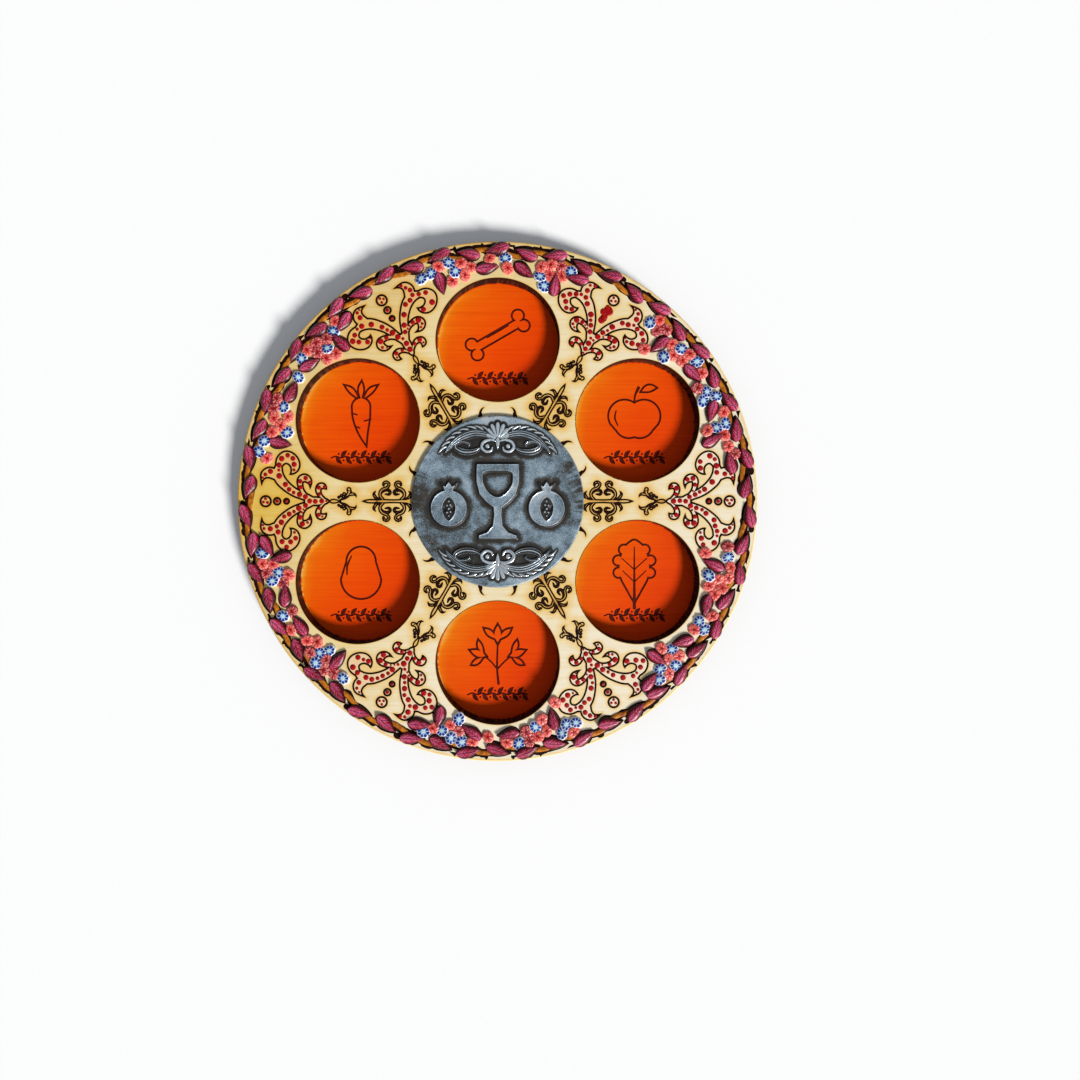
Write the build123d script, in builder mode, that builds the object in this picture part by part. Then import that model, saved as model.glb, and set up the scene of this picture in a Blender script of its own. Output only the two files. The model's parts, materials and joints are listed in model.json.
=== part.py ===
from build123d import *
import math
import os

# A round ritual plate: two plywood boards, a cast medallion and a clay garland round the rim.
# Millimetres, +Z up, origin at the middle of the underside.

# Boards
plate_diameter = 300.0
base_thickness = 3.0
top_thickness = 9.0
edge_break = 0.8

# Wells for the foods, evenly spaced round the middle and named by where they lie
well_names = ["upper_right", "top", "upper_left", "lower_left", "bottom", "lower_right"]
well_diameter = 71.0
well_pitch_radius = 93.0

# Medallion disc and the height of its raised work
medallion_diameter = 99.0
medallion_thickness = 2.0
medallion_edge = 0.9
relief_height = 1.0
relief_bevel = 0.5

# Goblet in the middle of the medallion, measured up from its foot
goblet_height = 43.0
goblet_foot_width = 22.0
goblet_foot_thickness = 2.4
goblet_stem_width = 4.6
goblet_stem_height = 17.0
goblet_bowl_width = 25.0
goblet_lip_inset = 0.5
goblet_rim_depth = 9.0

# Pomegranate on each side of the goblet
pomegranate_diameter = 21.0
pomegranate_offset = 28.0
pomegranate_drop = 4.0
crown_base_width = 6.4
crown_top_width = 10.4
crown_height = 7.6
crown_notch = 3.4

# Scrolled crests above and below, measured up from the crest's lower edge
crest_margin = 4.0
crest_height = 1.2
crest_rise = 18.4
arm_root_x = 2.2
arm_root_rise = 8.4
arm_apex_x = 16.0
arm_apex_rise = 14.6
arm_tip_x = 30.5
arm_width = 5.6
tail_start_x = 9.5
tail_end_x = 25.5
tail_rise = 4.0
tail_width = 3.6
bead_diameter = 5.0
bead_x = 5.6
bead_rise = 4.6
fan_petals = 5
fan_spread = 112.0
fan_length = 10.6
fan_petal_width = 3.2
fan_hub_diameter = 5.2

# Clay leaves: along the rim, and smaller ones among the flowers
outer_leaf_length = 14.2
outer_leaf_width = 7.4
inner_leaf_length = 12.2
inner_leaf_width = 6.4
leaf_edge_height = 1.1
leaf_ridge_height = 2.6
leaf_patches = 10
clay_gap = 0.15

# A leaf's side from base to tip: shares of its length and of its half width
leaf_side = [(0.0, 0.34), (0.13, 0.78), (0.36, 1.0), (0.68, 0.7), (1.0, 0.0)]

# Outer leaves and the lengths of vine between them
rim_margin = 6.0
leaf_spacing = 2.0
leaf_sway = 1.5
leaf_tilt = 16.0
vine_width = 3.4
vine_height = 1.0
vine_patches = 5

# Flower slices
flower_diameter = 5.4
flower_thickness = 1.5
coral_petals = 6
blue_petals = 8
flower_band = 28.0
band_step = 0.7
blue_share = 0.39
flower_turn = 47.0
well_margin = 0.4

# Bare room beside the axis between two wells, where the flowers stop
bare_half_angle = 10.5
shoulder_half_angle = 14.0
shoulder_depth = 11.0

# Leaves among the flowers of one well: angle from the well's axis, inset from the vine, turn
spray = [
    (14.0, 17.0, 175.0),
    (3.0, 11.2, -80.0),
    (-7.0, 12.0, 235.0),
    (-14.5, 17.5, 10.0),
    (-20.0, 9.5, 100.0),
]
spray_wander = 1.0
wander_by_well = 7
wander_by_leaf = 3
spray_swing = 9.0
spray_nudge = 0.8
spray_tries = 4

# Sizes that follow from the ones above
plate_radius = plate_diameter / 2
well_radius = well_diameter / 2
medallion_radius = medallion_diameter / 2
board_top = base_thickness + top_thickness
medallion_top = board_top + medallion_thickness
vine_radius = plate_radius - rim_margin
well_count = len(well_names)
sector_angle = 360 / well_count
golden_ratio = (math.sqrt(5) - 1) / 2


def sector_axis(sector):
    return sector_angle * (sector + 0.5)


def on_circle(radius, angle):
    turn = math.radians(angle)
    return (radius * math.cos(turn), radius * math.sin(turn))


def clay_leaf(length, width, grow=0):
    # Leaf with its tip along +X and a raised midrib; grow lengthens and widens it all round
    half_length = length / 2 + grow
    half_width = width / 2 + grow
    side = [(half_length * (2 * along - 1), half_width * across) for along, across in leaf_side]
    widest_x = max(side, key=lambda point: point[1])[0]
    with BuildPart() as leaf:
        with BuildSketch():
            with BuildLine():
                Polyline((-half_length, 0), *side)
                mirror(about=Plane.XZ)
            make_face()
        extrude(amount=leaf_ridge_height)
        with BuildSketch(Plane.YZ):
            with BuildLine():
                Polyline(
                    (-half_width, 0),
                    (half_width, 0),
                    (half_width, leaf_edge_height),
                    (0, leaf_ridge_height),
                    (-half_width, leaf_edge_height),
                    close=True,
                )
            make_face()
        extrude(amount=half_length, both=True, mode=Mode.INTERSECT)
        with BuildSketch(Plane.XZ):
            with BuildLine():
                Polyline(
                    (-half_length, 0),
                    (half_length, 0),
                    (half_length, leaf_edge_height),
                    (widest_x, leaf_ridge_height),
                    (-half_length, leaf_edge_height),
                    close=True,
                )
            make_face()
        extrude(amount=half_width, both=True, mode=Mode.INTERSECT)
    return leaf.part


def flower_slice(petals):
    with BuildPart() as slice_of_cane:
        with BuildSketch():
            RegularPolygon(flower_diameter / 2, petals)
        extrude(amount=flower_thickness)
    return slice_of_cane.part


def leaf_discs(place, length, width):
    # Round patches from a leaf's base to its tip, for keeping its neighbours away
    x, y, turn = place
    patches = []
    for step in range(1, leaf_patches + 1):
        share = step / leaf_patches
        for (near, near_width), (far, far_width) in zip(leaf_side, leaf_side[1:]):
            if near < share <= far:
                across = near_width + (far_width - near_width) * (share - near) / (far - near)
        spot_x, spot_y = on_circle(length * (share - 0.5), turn)
        patches.append((x + spot_x, y + spot_y, width / 2 * across))
    return patches


def is_clear(patches, taken):
    for x, y, radius in patches:
        for other_x, other_y, other_radius in taken:
            if math.hypot(x - other_x, y - other_y) < radius + other_radius + clay_gap:
                return False
    return True


def flower_allowed(radius, offset):
    # Flowers stay off the axis between two wells and, close to it, near the rim
    from_bare_axis = sector_angle / 2 - abs(offset)
    if from_bare_axis < bare_half_angle:
        return False
    return from_bare_axis > shoulder_half_angle or vine_radius - radius < shoulder_depth


# Outer leaves: as many as fit round the vine, alternating in tilt and in distance
leaf_pitch = outer_leaf_length + leaf_spacing
leaves_per_sector = int(math.radians(sector_angle) * vine_radius / leaf_pitch)
leaf_step = sector_angle / leaves_per_sector
outer_places = []
for sector in range(well_count):
    sector_places = []
    for index in range(leaves_per_sector):
        number = sector * leaves_per_sector + index
        side = 1 if number % 2 else -1
        angle = sector_angle * sector + leaf_step * (index + 0.5)
        x, y = on_circle(vine_radius + side * leaf_sway, angle)
        sector_places.append((x, y, angle + 90 + side * leaf_tilt))
    outer_places.append(sector_places)

# The vine runs from leaf to leaf, all the way round
vine_stops = [place for sector_places in outer_places for place in sector_places]
vine_runs = list(zip(vine_stops, vine_stops[1:] + vine_stops[:1]))

# What the inner leaves and the flowers keep clear of
taken = []
for sector in range(well_count):
    well_x, well_y = on_circle(well_pitch_radius, sector_axis(sector))
    taken.append((well_x, well_y, well_radius + well_margin))
for place in vine_stops:
    taken.extend(leaf_discs(place, outer_leaf_length, outer_leaf_width))
for start, end in vine_runs:
    for step in range(1, vine_patches + 1):
        share = step / (vine_patches + 1)
        spot_x = start[0] + (end[0] - start[0]) * share
        spot_y = start[1] + (end[1] - start[1]) * share
        taken.append((spot_x, spot_y, vine_width / 2))

# Inner leaves, the same spray at each well with a little wander
inner_places = []
for sector in range(well_count):
    sector_places = []
    for number, (offset, inset, turn) in enumerate(spray):
        wander = spray_wander * math.sin(wander_by_well * sector + wander_by_leaf * number)
        angle = sector_axis(sector) + offset + wander
        for attempt in range(spray_tries):
            x, y = on_circle(vine_radius - inset - attempt * spray_nudge, angle)
            place = (x, y, angle + turn + spray_swing * wander)
            discs = leaf_discs(place, inner_leaf_length, inner_leaf_width)
            if is_clear(discs, taken):
                sector_places.append(place)
                taken.extend(discs)
                break
    inner_places.append(sector_places)

# Flowers packed in from the vine inwards, wherever there is room
coral_places = []
blue_places = []
flower_number = 0
for sector in range(well_count):
    coral_places.append([])
    blue_places.append([])
    middle = on_circle(vine_radius, sector_axis(sector))
    near = [patch for patch in taken if math.dist(patch[:2], middle) < vine_radius]
    for ring in range(int(flower_band / band_step)):
        radius = vine_radius - ring * band_step
        step = math.degrees(band_step / radius)
        count = int(sector_angle / step)
        for index in range(count):
            offset = (index - count / 2) * step
            x, y = on_circle(radius, sector_axis(sector) + offset)
            patch = (x, y, flower_diameter / 2)
            if not flower_allowed(radius, offset) or not is_clear([patch], near):
                continue
            near.append(patch)
            flower_number += 1
            is_blue = flower_number * golden_ratio % 1 < blue_share
            places = blue_places if is_blue else coral_places
            places[sector].append((x, y, flower_turn * flower_number))


def on_board(places):
    return [Location((x, y, board_top), (0, 0, turn)) for x, y, turn in places]


with BuildPart() as base_board:
    with BuildSketch():
        Circle(plate_radius)
    extrude(amount=base_thickness)
    chamfer(base_board.edges().group_by(Axis.Z)[0], edge_break)

with BuildPart() as top_board:
    with BuildSketch(Plane.XY.offset(base_thickness)):
        Circle(plate_radius)
        with PolarLocations(well_pitch_radius, well_count, start_angle=sector_axis(0)):
            Circle(well_radius, mode=Mode.SUBTRACT)
    extrude(amount=top_thickness)
    rim = top_board.edges().group_by(Axis.Z)[-1].sort_by(SortBy.LENGTH)[-1]
    chamfer(rim, edge_break)

# Heights of the raised work across the medallion, from its middle
goblet_foot_y = -goblet_height / 2
stem_y = goblet_foot_y + goblet_stem_height
rim_y = goblet_foot_y + goblet_height
crown_y = pomegranate_diameter / 2 - pomegranate_drop - crown_notch / 2
crest_y = medallion_radius - crest_margin - crest_rise
fan_y = crest_y + crest_rise - fan_length

with BuildPart() as medallion:
    with BuildSketch(Plane.XY.offset(board_top)):
        Circle(medallion_radius)
    extrude(amount=medallion_thickness)
    chamfer(medallion.edges().group_by(Axis.Z)[-1], medallion_edge)

    # Goblet between two pomegranates, flat on top with bevelled edges
    with BuildSketch(Plane.XY.offset(medallion_top)):
        with BuildLine():
            foot = Line((0, goblet_foot_y), (goblet_foot_width / 2, goblet_foot_y))
            foot_edge = Line(foot @ 1, foot @ 1 + (0, goblet_foot_thickness))
            stem = TangentArc((goblet_stem_width / 2, stem_y), foot_edge @ 1, tangent=(0, -1))
            bowl_top = (goblet_bowl_width / 2, rim_y - goblet_rim_depth)
            TangentArc(bowl_top, stem @ 0, tangent=(0, -1))
            lip = Line(bowl_top, (bowl_top[0] - goblet_lip_inset, rim_y))
            Line(lip @ 1, (0, rim_y))
            mirror(about=Plane.YZ)
        make_face()
        with Locations((-pomegranate_offset, 0), (pomegranate_offset, 0)):
            with Locations((0, -pomegranate_drop)):
                Circle(pomegranate_diameter / 2)
            Polygon(
                (-crown_base_width / 2, crown_y),
                (crown_base_width / 2, crown_y),
                (crown_top_width / 2, crown_y + crown_height),
                (crown_top_width / 4, crown_y + crown_height - crown_notch),
                (0, crown_y + crown_height),
                (-crown_top_width / 4, crown_y + crown_height - crown_notch),
                (-crown_top_width / 2, crown_y + crown_height),
                align=None,
            )
    extrude(amount=relief_height)
    chamfer(medallion.edges().group_by(Axis.Z)[-1], relief_bevel)

    # A fan between two scrolled arms, above the goblet and again below it
    with BuildSketch(Plane.XY.offset(medallion_top)):
        with BuildLine():
            arm_root = (arm_root_x, crest_y + arm_root_rise)
            arm_tip = (arm_tip_x, crest_y)
            ThreePointArc(arm_root, (arm_apex_x, crest_y + arm_apex_rise), arm_tip)
            ThreePointArc(arm_tip, (arm_apex_x, crest_y + arm_apex_rise - arm_width), arm_root)
        make_face()
        with BuildLine():
            tail_start = (tail_start_x, crest_y + tail_rise)
            tail_end = (tail_end_x, crest_y + tail_rise)
            tail_middle = (tail_start_x + tail_end_x) / 2
            ThreePointArc(tail_start, (tail_middle, crest_y), tail_end)
            ThreePointArc(tail_end, (tail_middle, crest_y + tail_width), tail_start)
        make_face()
        with Locations((bead_x, crest_y + bead_rise)):
            Circle(bead_diameter / 2)
        mirror(about=Plane.YZ)
        with Locations((0, fan_y)):
            Circle(fan_hub_diameter / 2)
            with PolarLocations(0, fan_petals, 90 - fan_spread / 2, fan_spread, endpoint=True):
                Polygon(
                    (0, 0),
                    (fan_length - fan_petal_width, -fan_petal_width / 2),
                    (fan_length, 0),
                    (fan_length - fan_petal_width, fan_petal_width / 2),
                    align=None,
                )
        mirror(about=Plane.XZ)
    extrude(amount=crest_height)

base_board.part.label = "base_board"
top_board.part.label = "top_board"
medallion.part.label = "medallion"

os.makedirs("parts", exist_ok=True)
export_step(base_board.part, "parts/base_board.step")
export_step(top_board.part, "parts/top_board.step")
export_step(medallion.part, "parts/medallion.step")

# Lengths of vine, each from one leaf to the next and cut back to the leaves' edges
leaf_bed = clay_leaf(outer_leaf_length, outer_leaf_width, clay_gap / 2)
for sector, name in enumerate(well_names):
    first = sector * leaves_per_sector
    runs = vine_runs[first:first + leaves_per_sector]
    with BuildPart() as vine:
        for start, end in runs:
            run_x = end[0] - start[0]
            run_y = end[1] - start[1]
            middle = ((start[0] + end[0]) / 2, (start[1] + end[1]) / 2)
            heading = math.degrees(math.atan2(run_y, run_x))
            with BuildSketch(Plane.XY.offset(board_top)):
                with Locations(middle):
                    Rectangle(math.hypot(run_x, run_y) - clay_gap, vine_width, rotation=heading)
            extrude(amount=vine_height)
        with Locations(*on_board([start for start, end in runs] + [runs[-1][1]])):
            add(leaf_bed, mode=Mode.SUBTRACT)
    vine.part.label = f"vine_{name}"
    export_step(vine.part, f"parts/{vine.part.label}.step")
    print(vine.part.label, len(vine.part.solids()))

# Garland pieces, one group of separate solids for each kind at each well
outer_form = clay_leaf(outer_leaf_length, outer_leaf_width)
inner_form = clay_leaf(inner_leaf_length, inner_leaf_width)
coral_form = flower_slice(coral_petals)
blue_form = flower_slice(blue_petals)
kinds = [
    ("outer_leaves", outer_form, outer_places),
    ("inner_leaves", inner_form, inner_places),
    ("coral_flowers", coral_form, coral_places),
    ("blue_flowers", blue_form, blue_places),
]
for kind, form, all_places in kinds:
    for sector, name in enumerate(well_names):
        with BuildPart() as group:
            with Locations(*on_board(all_places[sector])):
                add(form)
        group.part.label = f"{kind}_{name}"
        export_step(group.part, f"parts/{group.part.label}.step")
        print(group.part.label, len(group.part.solids()))
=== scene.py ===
import bpy
import bmesh
import json
import math
import random
import numpy as np
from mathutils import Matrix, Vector
from mathutils.geometry import delaunay_2d_cdt

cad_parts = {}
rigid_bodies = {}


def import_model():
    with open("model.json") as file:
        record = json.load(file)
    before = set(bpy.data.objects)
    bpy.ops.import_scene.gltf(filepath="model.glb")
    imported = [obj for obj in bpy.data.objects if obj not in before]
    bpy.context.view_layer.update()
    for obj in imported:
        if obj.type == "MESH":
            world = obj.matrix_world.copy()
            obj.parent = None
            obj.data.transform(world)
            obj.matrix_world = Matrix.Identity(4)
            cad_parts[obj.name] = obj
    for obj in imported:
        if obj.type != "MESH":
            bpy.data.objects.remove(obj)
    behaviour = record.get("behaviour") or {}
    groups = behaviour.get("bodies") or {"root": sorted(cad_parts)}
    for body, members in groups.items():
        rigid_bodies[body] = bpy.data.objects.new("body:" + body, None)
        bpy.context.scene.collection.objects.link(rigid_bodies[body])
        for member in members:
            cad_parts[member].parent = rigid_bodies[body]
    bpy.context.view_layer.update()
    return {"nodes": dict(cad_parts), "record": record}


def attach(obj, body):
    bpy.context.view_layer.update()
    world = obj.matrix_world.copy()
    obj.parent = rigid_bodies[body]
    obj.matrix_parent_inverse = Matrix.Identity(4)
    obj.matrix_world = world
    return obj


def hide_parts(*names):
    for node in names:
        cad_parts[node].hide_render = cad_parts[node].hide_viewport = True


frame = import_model()
scene = bpy.context.scene
mm = 0.001  # everything below is worked out in millimetres
fullTurn = 2 * math.pi


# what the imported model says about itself
def nodePoints(node):
    mesh = frame["nodes"][node].data
    points = np.zeros(len(mesh.vertices) * 3)
    mesh.vertices.foreach_get("co", points)
    return points.reshape(-1, 3) / mm


def reachOf(points):
    return np.hypot(points[:, 0], points[:, 1])


boardPoints = nodePoints("top_board")
boardReach = reachOf(boardPoints)
plateRadius = boardReach.max()
boardLow = boardPoints[:, 2].min()
boardTop = boardPoints[:, 2].max()
rimRadius = boardReach[boardPoints[:, 2] > boardTop - 0.01].max()
openings = frame["record"]["physics"]["openings"]
wells = [np.mean(opening["box_m"], axis=0)[:2] / mm for opening in openings]
wellPitch = math.hypot(*wells[0])
wellRadius = reachOf(boardPoints[:, :2] - wells[0]).min()
wedgeCount = len(wells)
wedgeAngle = fullTurn / wedgeCount
wedgeSides = (-wedgeAngle / 2, wedgeAngle / 2)
sideWells = [(wellPitch * math.cos(angle), wellPitch * math.sin(angle)) for angle in wedgeSides]
print("frame: plate radius %.1f, wells %.1f at %.1f" % (plateRadius, wellRadius, wellPitch))


# nodes, for materials and for geometry trees alike
def addNode(tree, kind, inputs=None, **settings):
    made = tree.nodes.new(kind)
    for key, value in settings.items():
        setattr(made, key, value)
    for key, value in (inputs or {}).items():
        value = getattr(value, "socket", value)
        if isinstance(value, bpy.types.NodeSocket):
            tree.links.new(value, made.inputs[key])
        else:
            made.inputs[key].default_value = value
    return made


def nodeOut(tree, kind, inputs=None, output=0, **settings):
    return addNode(tree, kind, inputs, **settings).outputs[output]


def colour(text):
    channels = [int(text[i:i + 2], 16) / 255 for i in (0, 2, 4)]
    return (*[c / 12.92 if c <= 0.04045 else ((c + 0.055) / 1.055) ** 2.4 for c in channels], 1)


class Field:
    # a value that varies over a surface, worked with like a number
    def __init__(self, tree, socket):
        self.tree = tree
        self.socket = socket

    def apply(self, operation, other=0.0, clamp=False):
        inputs = {0: self, 1: other}
        made = nodeOut(self.tree, "ShaderNodeMath", inputs, operation=operation, use_clamp=clamp)
        return Field(self.tree, made)

    def __add__(self, other):
        return self.apply("ADD", other)

    def __sub__(self, other):
        return self.apply("SUBTRACT", other)

    def __rsub__(self, other):
        return self * -1.0 + other

    def __mul__(self, other):
        return self.apply("MULTIPLY", other)

    def __lt__(self, other):
        return self.apply("LESS_THAN", other)

    def __gt__(self, other):
        return self.apply("GREATER_THAN", other)

    def __abs__(self):
        return self.apply("ABSOLUTE")


shaderSockets = {"rough": "Roughness", "specular": "Specular IOR Level", "coat": "Coat Weight",
                 "coatRough": "Coat Roughness"}


class Finish:
    # one material, with the nodes that its shader is fed from
    def __init__(self, name, **shader):
        self.material = bpy.data.materials.new(name)
        self.material.use_nodes = True
        self.tree = self.material.node_tree
        self.bsdf = self.tree.nodes["Principled BSDF"]
        for key, value in shader.items():
            self.bsdf.inputs[shaderSockets[key]].default_value = value

    def add(self, kind, inputs=None, output=0, **settings):
        return Field(self.tree, nodeOut(self.tree, kind, inputs, output, **settings))

    def place(self):
        return self.add("ShaderNodeTexCoord", output="Object")

    def vector(self, operation, first, second=(0, 0, 0)):
        return self.add("ShaderNodeVectorMath", {0: first, 1: second}, "Value", operation=operation)

    def leaning(self):
        # rises from the plate's lower right towards its upper left
        return self.vector("DOT_PRODUCT", self.place(), (-2.7, 1.6, 0))

    def noise(self, stretch, detail=4.0, rough=0.55):
        # stretch is how many ripples fit in a metre along x, y and z
        place = self.add("ShaderNodeMapping", {"Vector": self.place(), "Scale": stretch})
        sizes = {"Vector": place, "Scale": 1.0, "Detail": detail, "Roughness": rough}
        return self.add("ShaderNodeTexNoise", sizes, "Fac")

    def stored(self, name, output="Fac"):
        return self.add("ShaderNodeAttribute", None, output, attribute_name=name)

    def parts(self, vector):
        made = addNode(self.tree, "ShaderNodeSeparateXYZ", {"Vector": vector})
        return [Field(self.tree, output) for output in made.outputs]

    def ramp(self, factor, *stops):
        made = addNode(self.tree, "ShaderNodeValToRGB", {"Fac": factor})
        elements = made.color_ramp.elements
        for element, (place, text) in zip(elements, (stops[0], stops[-1])):
            element.position = place
            element.color = colour(text)
        for place, text in stops[1:-1]:
            elements.new(place).color = colour(text)
        return Field(self.tree, made.outputs["Color"])

    def blend(self, factor, first, second, mode="MIX"):
        inputs = {0: factor, 6: first, 7: colour(second) if isinstance(second, str) else second}
        return self.add("ShaderNodeMix", inputs, 2, data_type="RGBA", blend_type=mode)

    def times(self, first, second, share=1.0):
        return self.blend(share, first, second, "MULTIPLY")

    def link(self, field, socket):
        self.tree.links.new(field.socket, self.bsdf.inputs[socket])

    def done(self, base, height, strength, distance):
        self.link(base, "Base Color")
        sizes = {"Height": height, "Strength": strength, "Distance": distance * mm}
        self.link(self.add("ShaderNodeBump", sizes), "Normal")
        return self.material


# finishes of the wood
def birchFinish():
    birch = Finish("birch_veneer", rough=0.5, specular=0.35)
    grain = birch.noise((14, 620, 40), 6.0, 0.6)
    cloud = birch.noise((16, 22, 10), 3.0)
    wood = birch.ramp(grain, (0.25, "efdcb2"), (0.5, "f6e8ca"), (0.75, "faf1da"))
    reach = birch.vector("LENGTH", birch.place())
    # darker and yellower towards the upper left and away from the middle, with a cloudy spread
    upperLeftTone = cloud * 0.7 + (birch.leaning() * (reach * reach * 80.0) - 0.05)
    wood = birch.times(wood, birch.ramp(upperLeftTone, (0.1, "ffffff"), (0.45, "f7ecc8"), (0.85, "eddbaa")))
    away = birch.vector("DISTANCE", birch.place(), (-0.134, 0.004, 0.012))  # yellowed patch at the left
    patch = (away * -24.0).apply("ADD", 1.0, True).apply("MULTIPLY", cloud + 0.9, True)
    wood = birch.times(wood, "fcf2ac", patch)
    fleck = birch.noise((90, 1500, 60), 2.0) > 0.69
    wood = birch.blend(fleck * 0.35, wood, "c79a5a")
    burn = birch.stored("scorch") * (cloud + 0.55)
    burn = burn.apply("MULTIPLY", birch.noise((140, 140, 20)) + 0.45, True)
    tint = birch.ramp(burn, (0.0, "ffffff"), (0.35, "fdeabc"), (0.7, "efc775"), (1.0, "a8713a"))
    return birch.done(birch.times(wood, tint), grain, 0.12, 0.15)


def charFinish(name, dark, light):
    char = Finish(name, rough=0.7, specular=0.1)
    soot = char.noise((420, 420, 420))
    return char.done(char.ramp(soot, (0.3, dark), (0.72, light)), soot, 0.3, 0.12)


def edgeFinish():
    # laser-cut plywood edge: charred veneers, a little paler where the glue lines are
    edge = Finish("charred_edge", rough=0.62, specular=0.3)
    height = edge.parts(edge.place())[2]
    ply = (height * (1 / (1.5 * mm))).apply("FRACT")
    bands = ply * 0.4 + edge.noise((260, 260, 900)) * 0.75
    wood = edge.ramp(bands, (0.2, "2a0f08"), (0.6, "47200f"), (0.95, "7a4520"))
    # the scorch value darkens the edge further; the well walls carry the most, painted shade of the wells
    # over the real char
    deep = edge.ramp(edge.stored("scorch"), (0.3, "ffffff"), (0.9, "33261f"))
    return edge.done(edge.times(wood, deep), bands, 0.25, 0.2)


def stainFinish():
    stain = Finish("orange_stain", rough=0.55, specular=0.06)
    grain = stain.noise((20, 700, 40), 6.0, 0.6)
    # lean, stored on the floors, carries painted light: yellower on the lit upper left of each floor, redder
    # towards its shaded lower right; the noise is the stain's own unevenness
    lean = stain.stored("lean") + stain.noise((28, 36, 10), 2.0) * 0.35
    wood = stain.ramp(lean, (0.0, "f9b25c"), (0.06, "f89e28"), (0.14, "f87c0c"), (0.36, "f56004"),
                      (0.7, "f24e02"), (1.0, "e84000"))
    wood = stain.times(wood, stain.ramp(grain, (0.3, "f0d6c4"), (0.6, "ffffff")), 0.7)
    # the scorch value darkens the floor at the foot of the well wall: painted shade
    burn = stain.ramp(stain.stored("scorch"), (0.0, "ffffff"), (0.5, "e79a62"), (1.0, "7d3316"))
    return stain.done(stain.times(wood, burn), grain, 0.1, 0.12)


def paintFinish(name, deep, light, rough, ripples, upperLeftTone=None):
    paint = Finish(name, rough=rough, specular=0.2)
    blot = paint.noise((ripples, ripples, ripples), 3.0)
    tone = paint.ramp(blot, (0.32, deep), (0.66, light))
    # with a tone given, darker and yellower towards the upper left
    if upperLeftTone:
        tone = paint.times(tone, paint.ramp(paint.leaning() + 0.45, (0.2, "ffffff"), (0.85, upperLeftTone)))
    return paint.done(tone, blot, 0.15, 0.15)


birch = birchFinish()
burntLine = charFinish("burnt_line", "130301", "290b05")
stainedLine = charFinish("burnt_stain", "3a0a06", "641708")
charredEdge = edgeFinish()
stain = stainFinish()
blush = paintFinish("blush_paint", "f5dab8", "f9e8cd", 0.5, 160, "ecc980")
redPaint = paintFinish("red_paint", "880305", "b8080d", 0.45, 700)
print("wood finishes ready")


# line art: fat strokes, given by points of x, y and half width
def smoothLine(points, steps=6):
    points = np.array(points, float)
    padded = np.vstack([2 * points[0] - points[1], points, 2 * points[-1] - points[-2]])
    line = []
    for a, b, c, d in zip(padded, padded[1:], padded[2:], padded[3:]):
        for t in np.arange(steps) / steps:
            bend = (2 * a - 5 * b + 4 * c - d) * t * t + (3 * b - a - 3 * c + d) * t ** 3
            line.append((2 * b + (c - a) * t + bend) / 2)
    line = np.array(line + [points[-1]])
    line[:, 2] = np.maximum(line[:, 2], 0.04)
    return line


def smoothed(source, *keys):
    return [smoothLine(source[key]) for key in keys]


def spot(x, y, radius):
    return np.array([(x, y, radius), (x + 0.001, y, radius)])


def flipped(lines):
    return [line * (1, -1, 1) for line in lines]


def turned(points, angle):
    c, s = math.cos(angle), math.sin(angle)
    made = np.array(points, float)
    made[:, :2] = made[:, :2] @ np.array([(c, s), (-s, c)])
    return made


def toSegment(x, y, a, b):
    # distance from a segment, and the share of it at which the nearest point lies
    dx, dy = b[0] - a[0], b[1] - a[1]
    along = np.clip(((x - a[0]) * dx + (y - a[1]) * dy) / max(dx * dx + dy * dy, 1e-9), 0, 1)
    return np.hypot(x - a[0] - along * dx, y - a[1] - along * dy), along


def strokeGap(lines, x, y):
    # distance to the edge of the nearest stroke, below nought inside it
    gap = np.full(x.shape, 1e3)
    for line in lines:
        for a, b in zip(line, line[1:]):
            away, along = toSegment(x, y, a, b)
            np.minimum(gap, away - a[2] - (b[2] - a[2]) * along, out=gap)
    return gap


def drawnGap(gap, width):
    # gap to a line of that width along the inside of an outline
    return np.abs(gap + width / 2) - width / 2


def contour(gap, x, y, level):
    # marching squares: points where the gap passes the level, and the lines that join them
    inside = gap < level
    corners = inside[:-1, :-1].astype(int) + inside[:-1, 1:] + inside[1:, 1:] + inside[1:, :-1]
    points, known, edges = [], {}, []
    for i, j in np.argwhere((corners > 0) & (corners < 4)):
        ring = [(i, j), (i, j + 1), (i + 1, j + 1), (i + 1, j)]
        found = []
        for a, b in zip(ring, ring[1:] + ring[:1]):
            if inside[a] != inside[b]:
                a, b = min(a, b), max(a, b)
                if (a, b) not in known:
                    share = (level - gap[a]) / (gap[b] - gap[a])
                    share = min(max(share, 0.04), 0.96)
                    known[a, b] = len(points)
                    points.append((x[a] + (x[b] - x[a]) * share, y[a] + (y[b] - y[a]) * share))
                found.append(known[a, b])
        edges.extend(zip(found[::2], found[1::2]))
    return points, edges


def grid(lowX, highX, lowY, highY, cell):
    return np.meshgrid(np.arange(lowX, highX, cell), np.arange(lowY, highY, cell))


def addContour(points, edges, found, joined):
    edges += [(a + len(points), b + len(points)) for a, b in joined]
    points += found


def triangles(points, edges):
    made = delaunay_2d_cdt([Vector(point) for point in points], edges, [], 0, 1e-5)
    flat, faces = np.array([tuple(v) for v in made[0]]), np.array([face for face in made[2]])
    return flat, faces


def joinCorners(faces, sunk):
    # where two sunk areas meet in one point, the triangles round that point sink too
    sides = np.sort(np.vstack([faces[:, (0, 1)], faces[:, (1, 2)], faces[:, (2, 0)]]), axis=1)
    sides, place = np.unique(sides, axis=0, return_inverse=True)
    place = place.ravel()
    total = np.bincount(place)
    free = (total[place].reshape(3, -1) > 1).all(axis=0)
    while True:
        low = np.bincount(place, weights=np.tile(sunk, 3))
        borders = sides[(low > 0) & (low < total)]
        crowded = np.bincount(borders.ravel(), minlength=faces.max() + 1) > 2
        grown = sunk | (free & crowded[faces].any(axis=1))
        if (grown == sunk).all():
            return sunk
        sunk = grown


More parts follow.
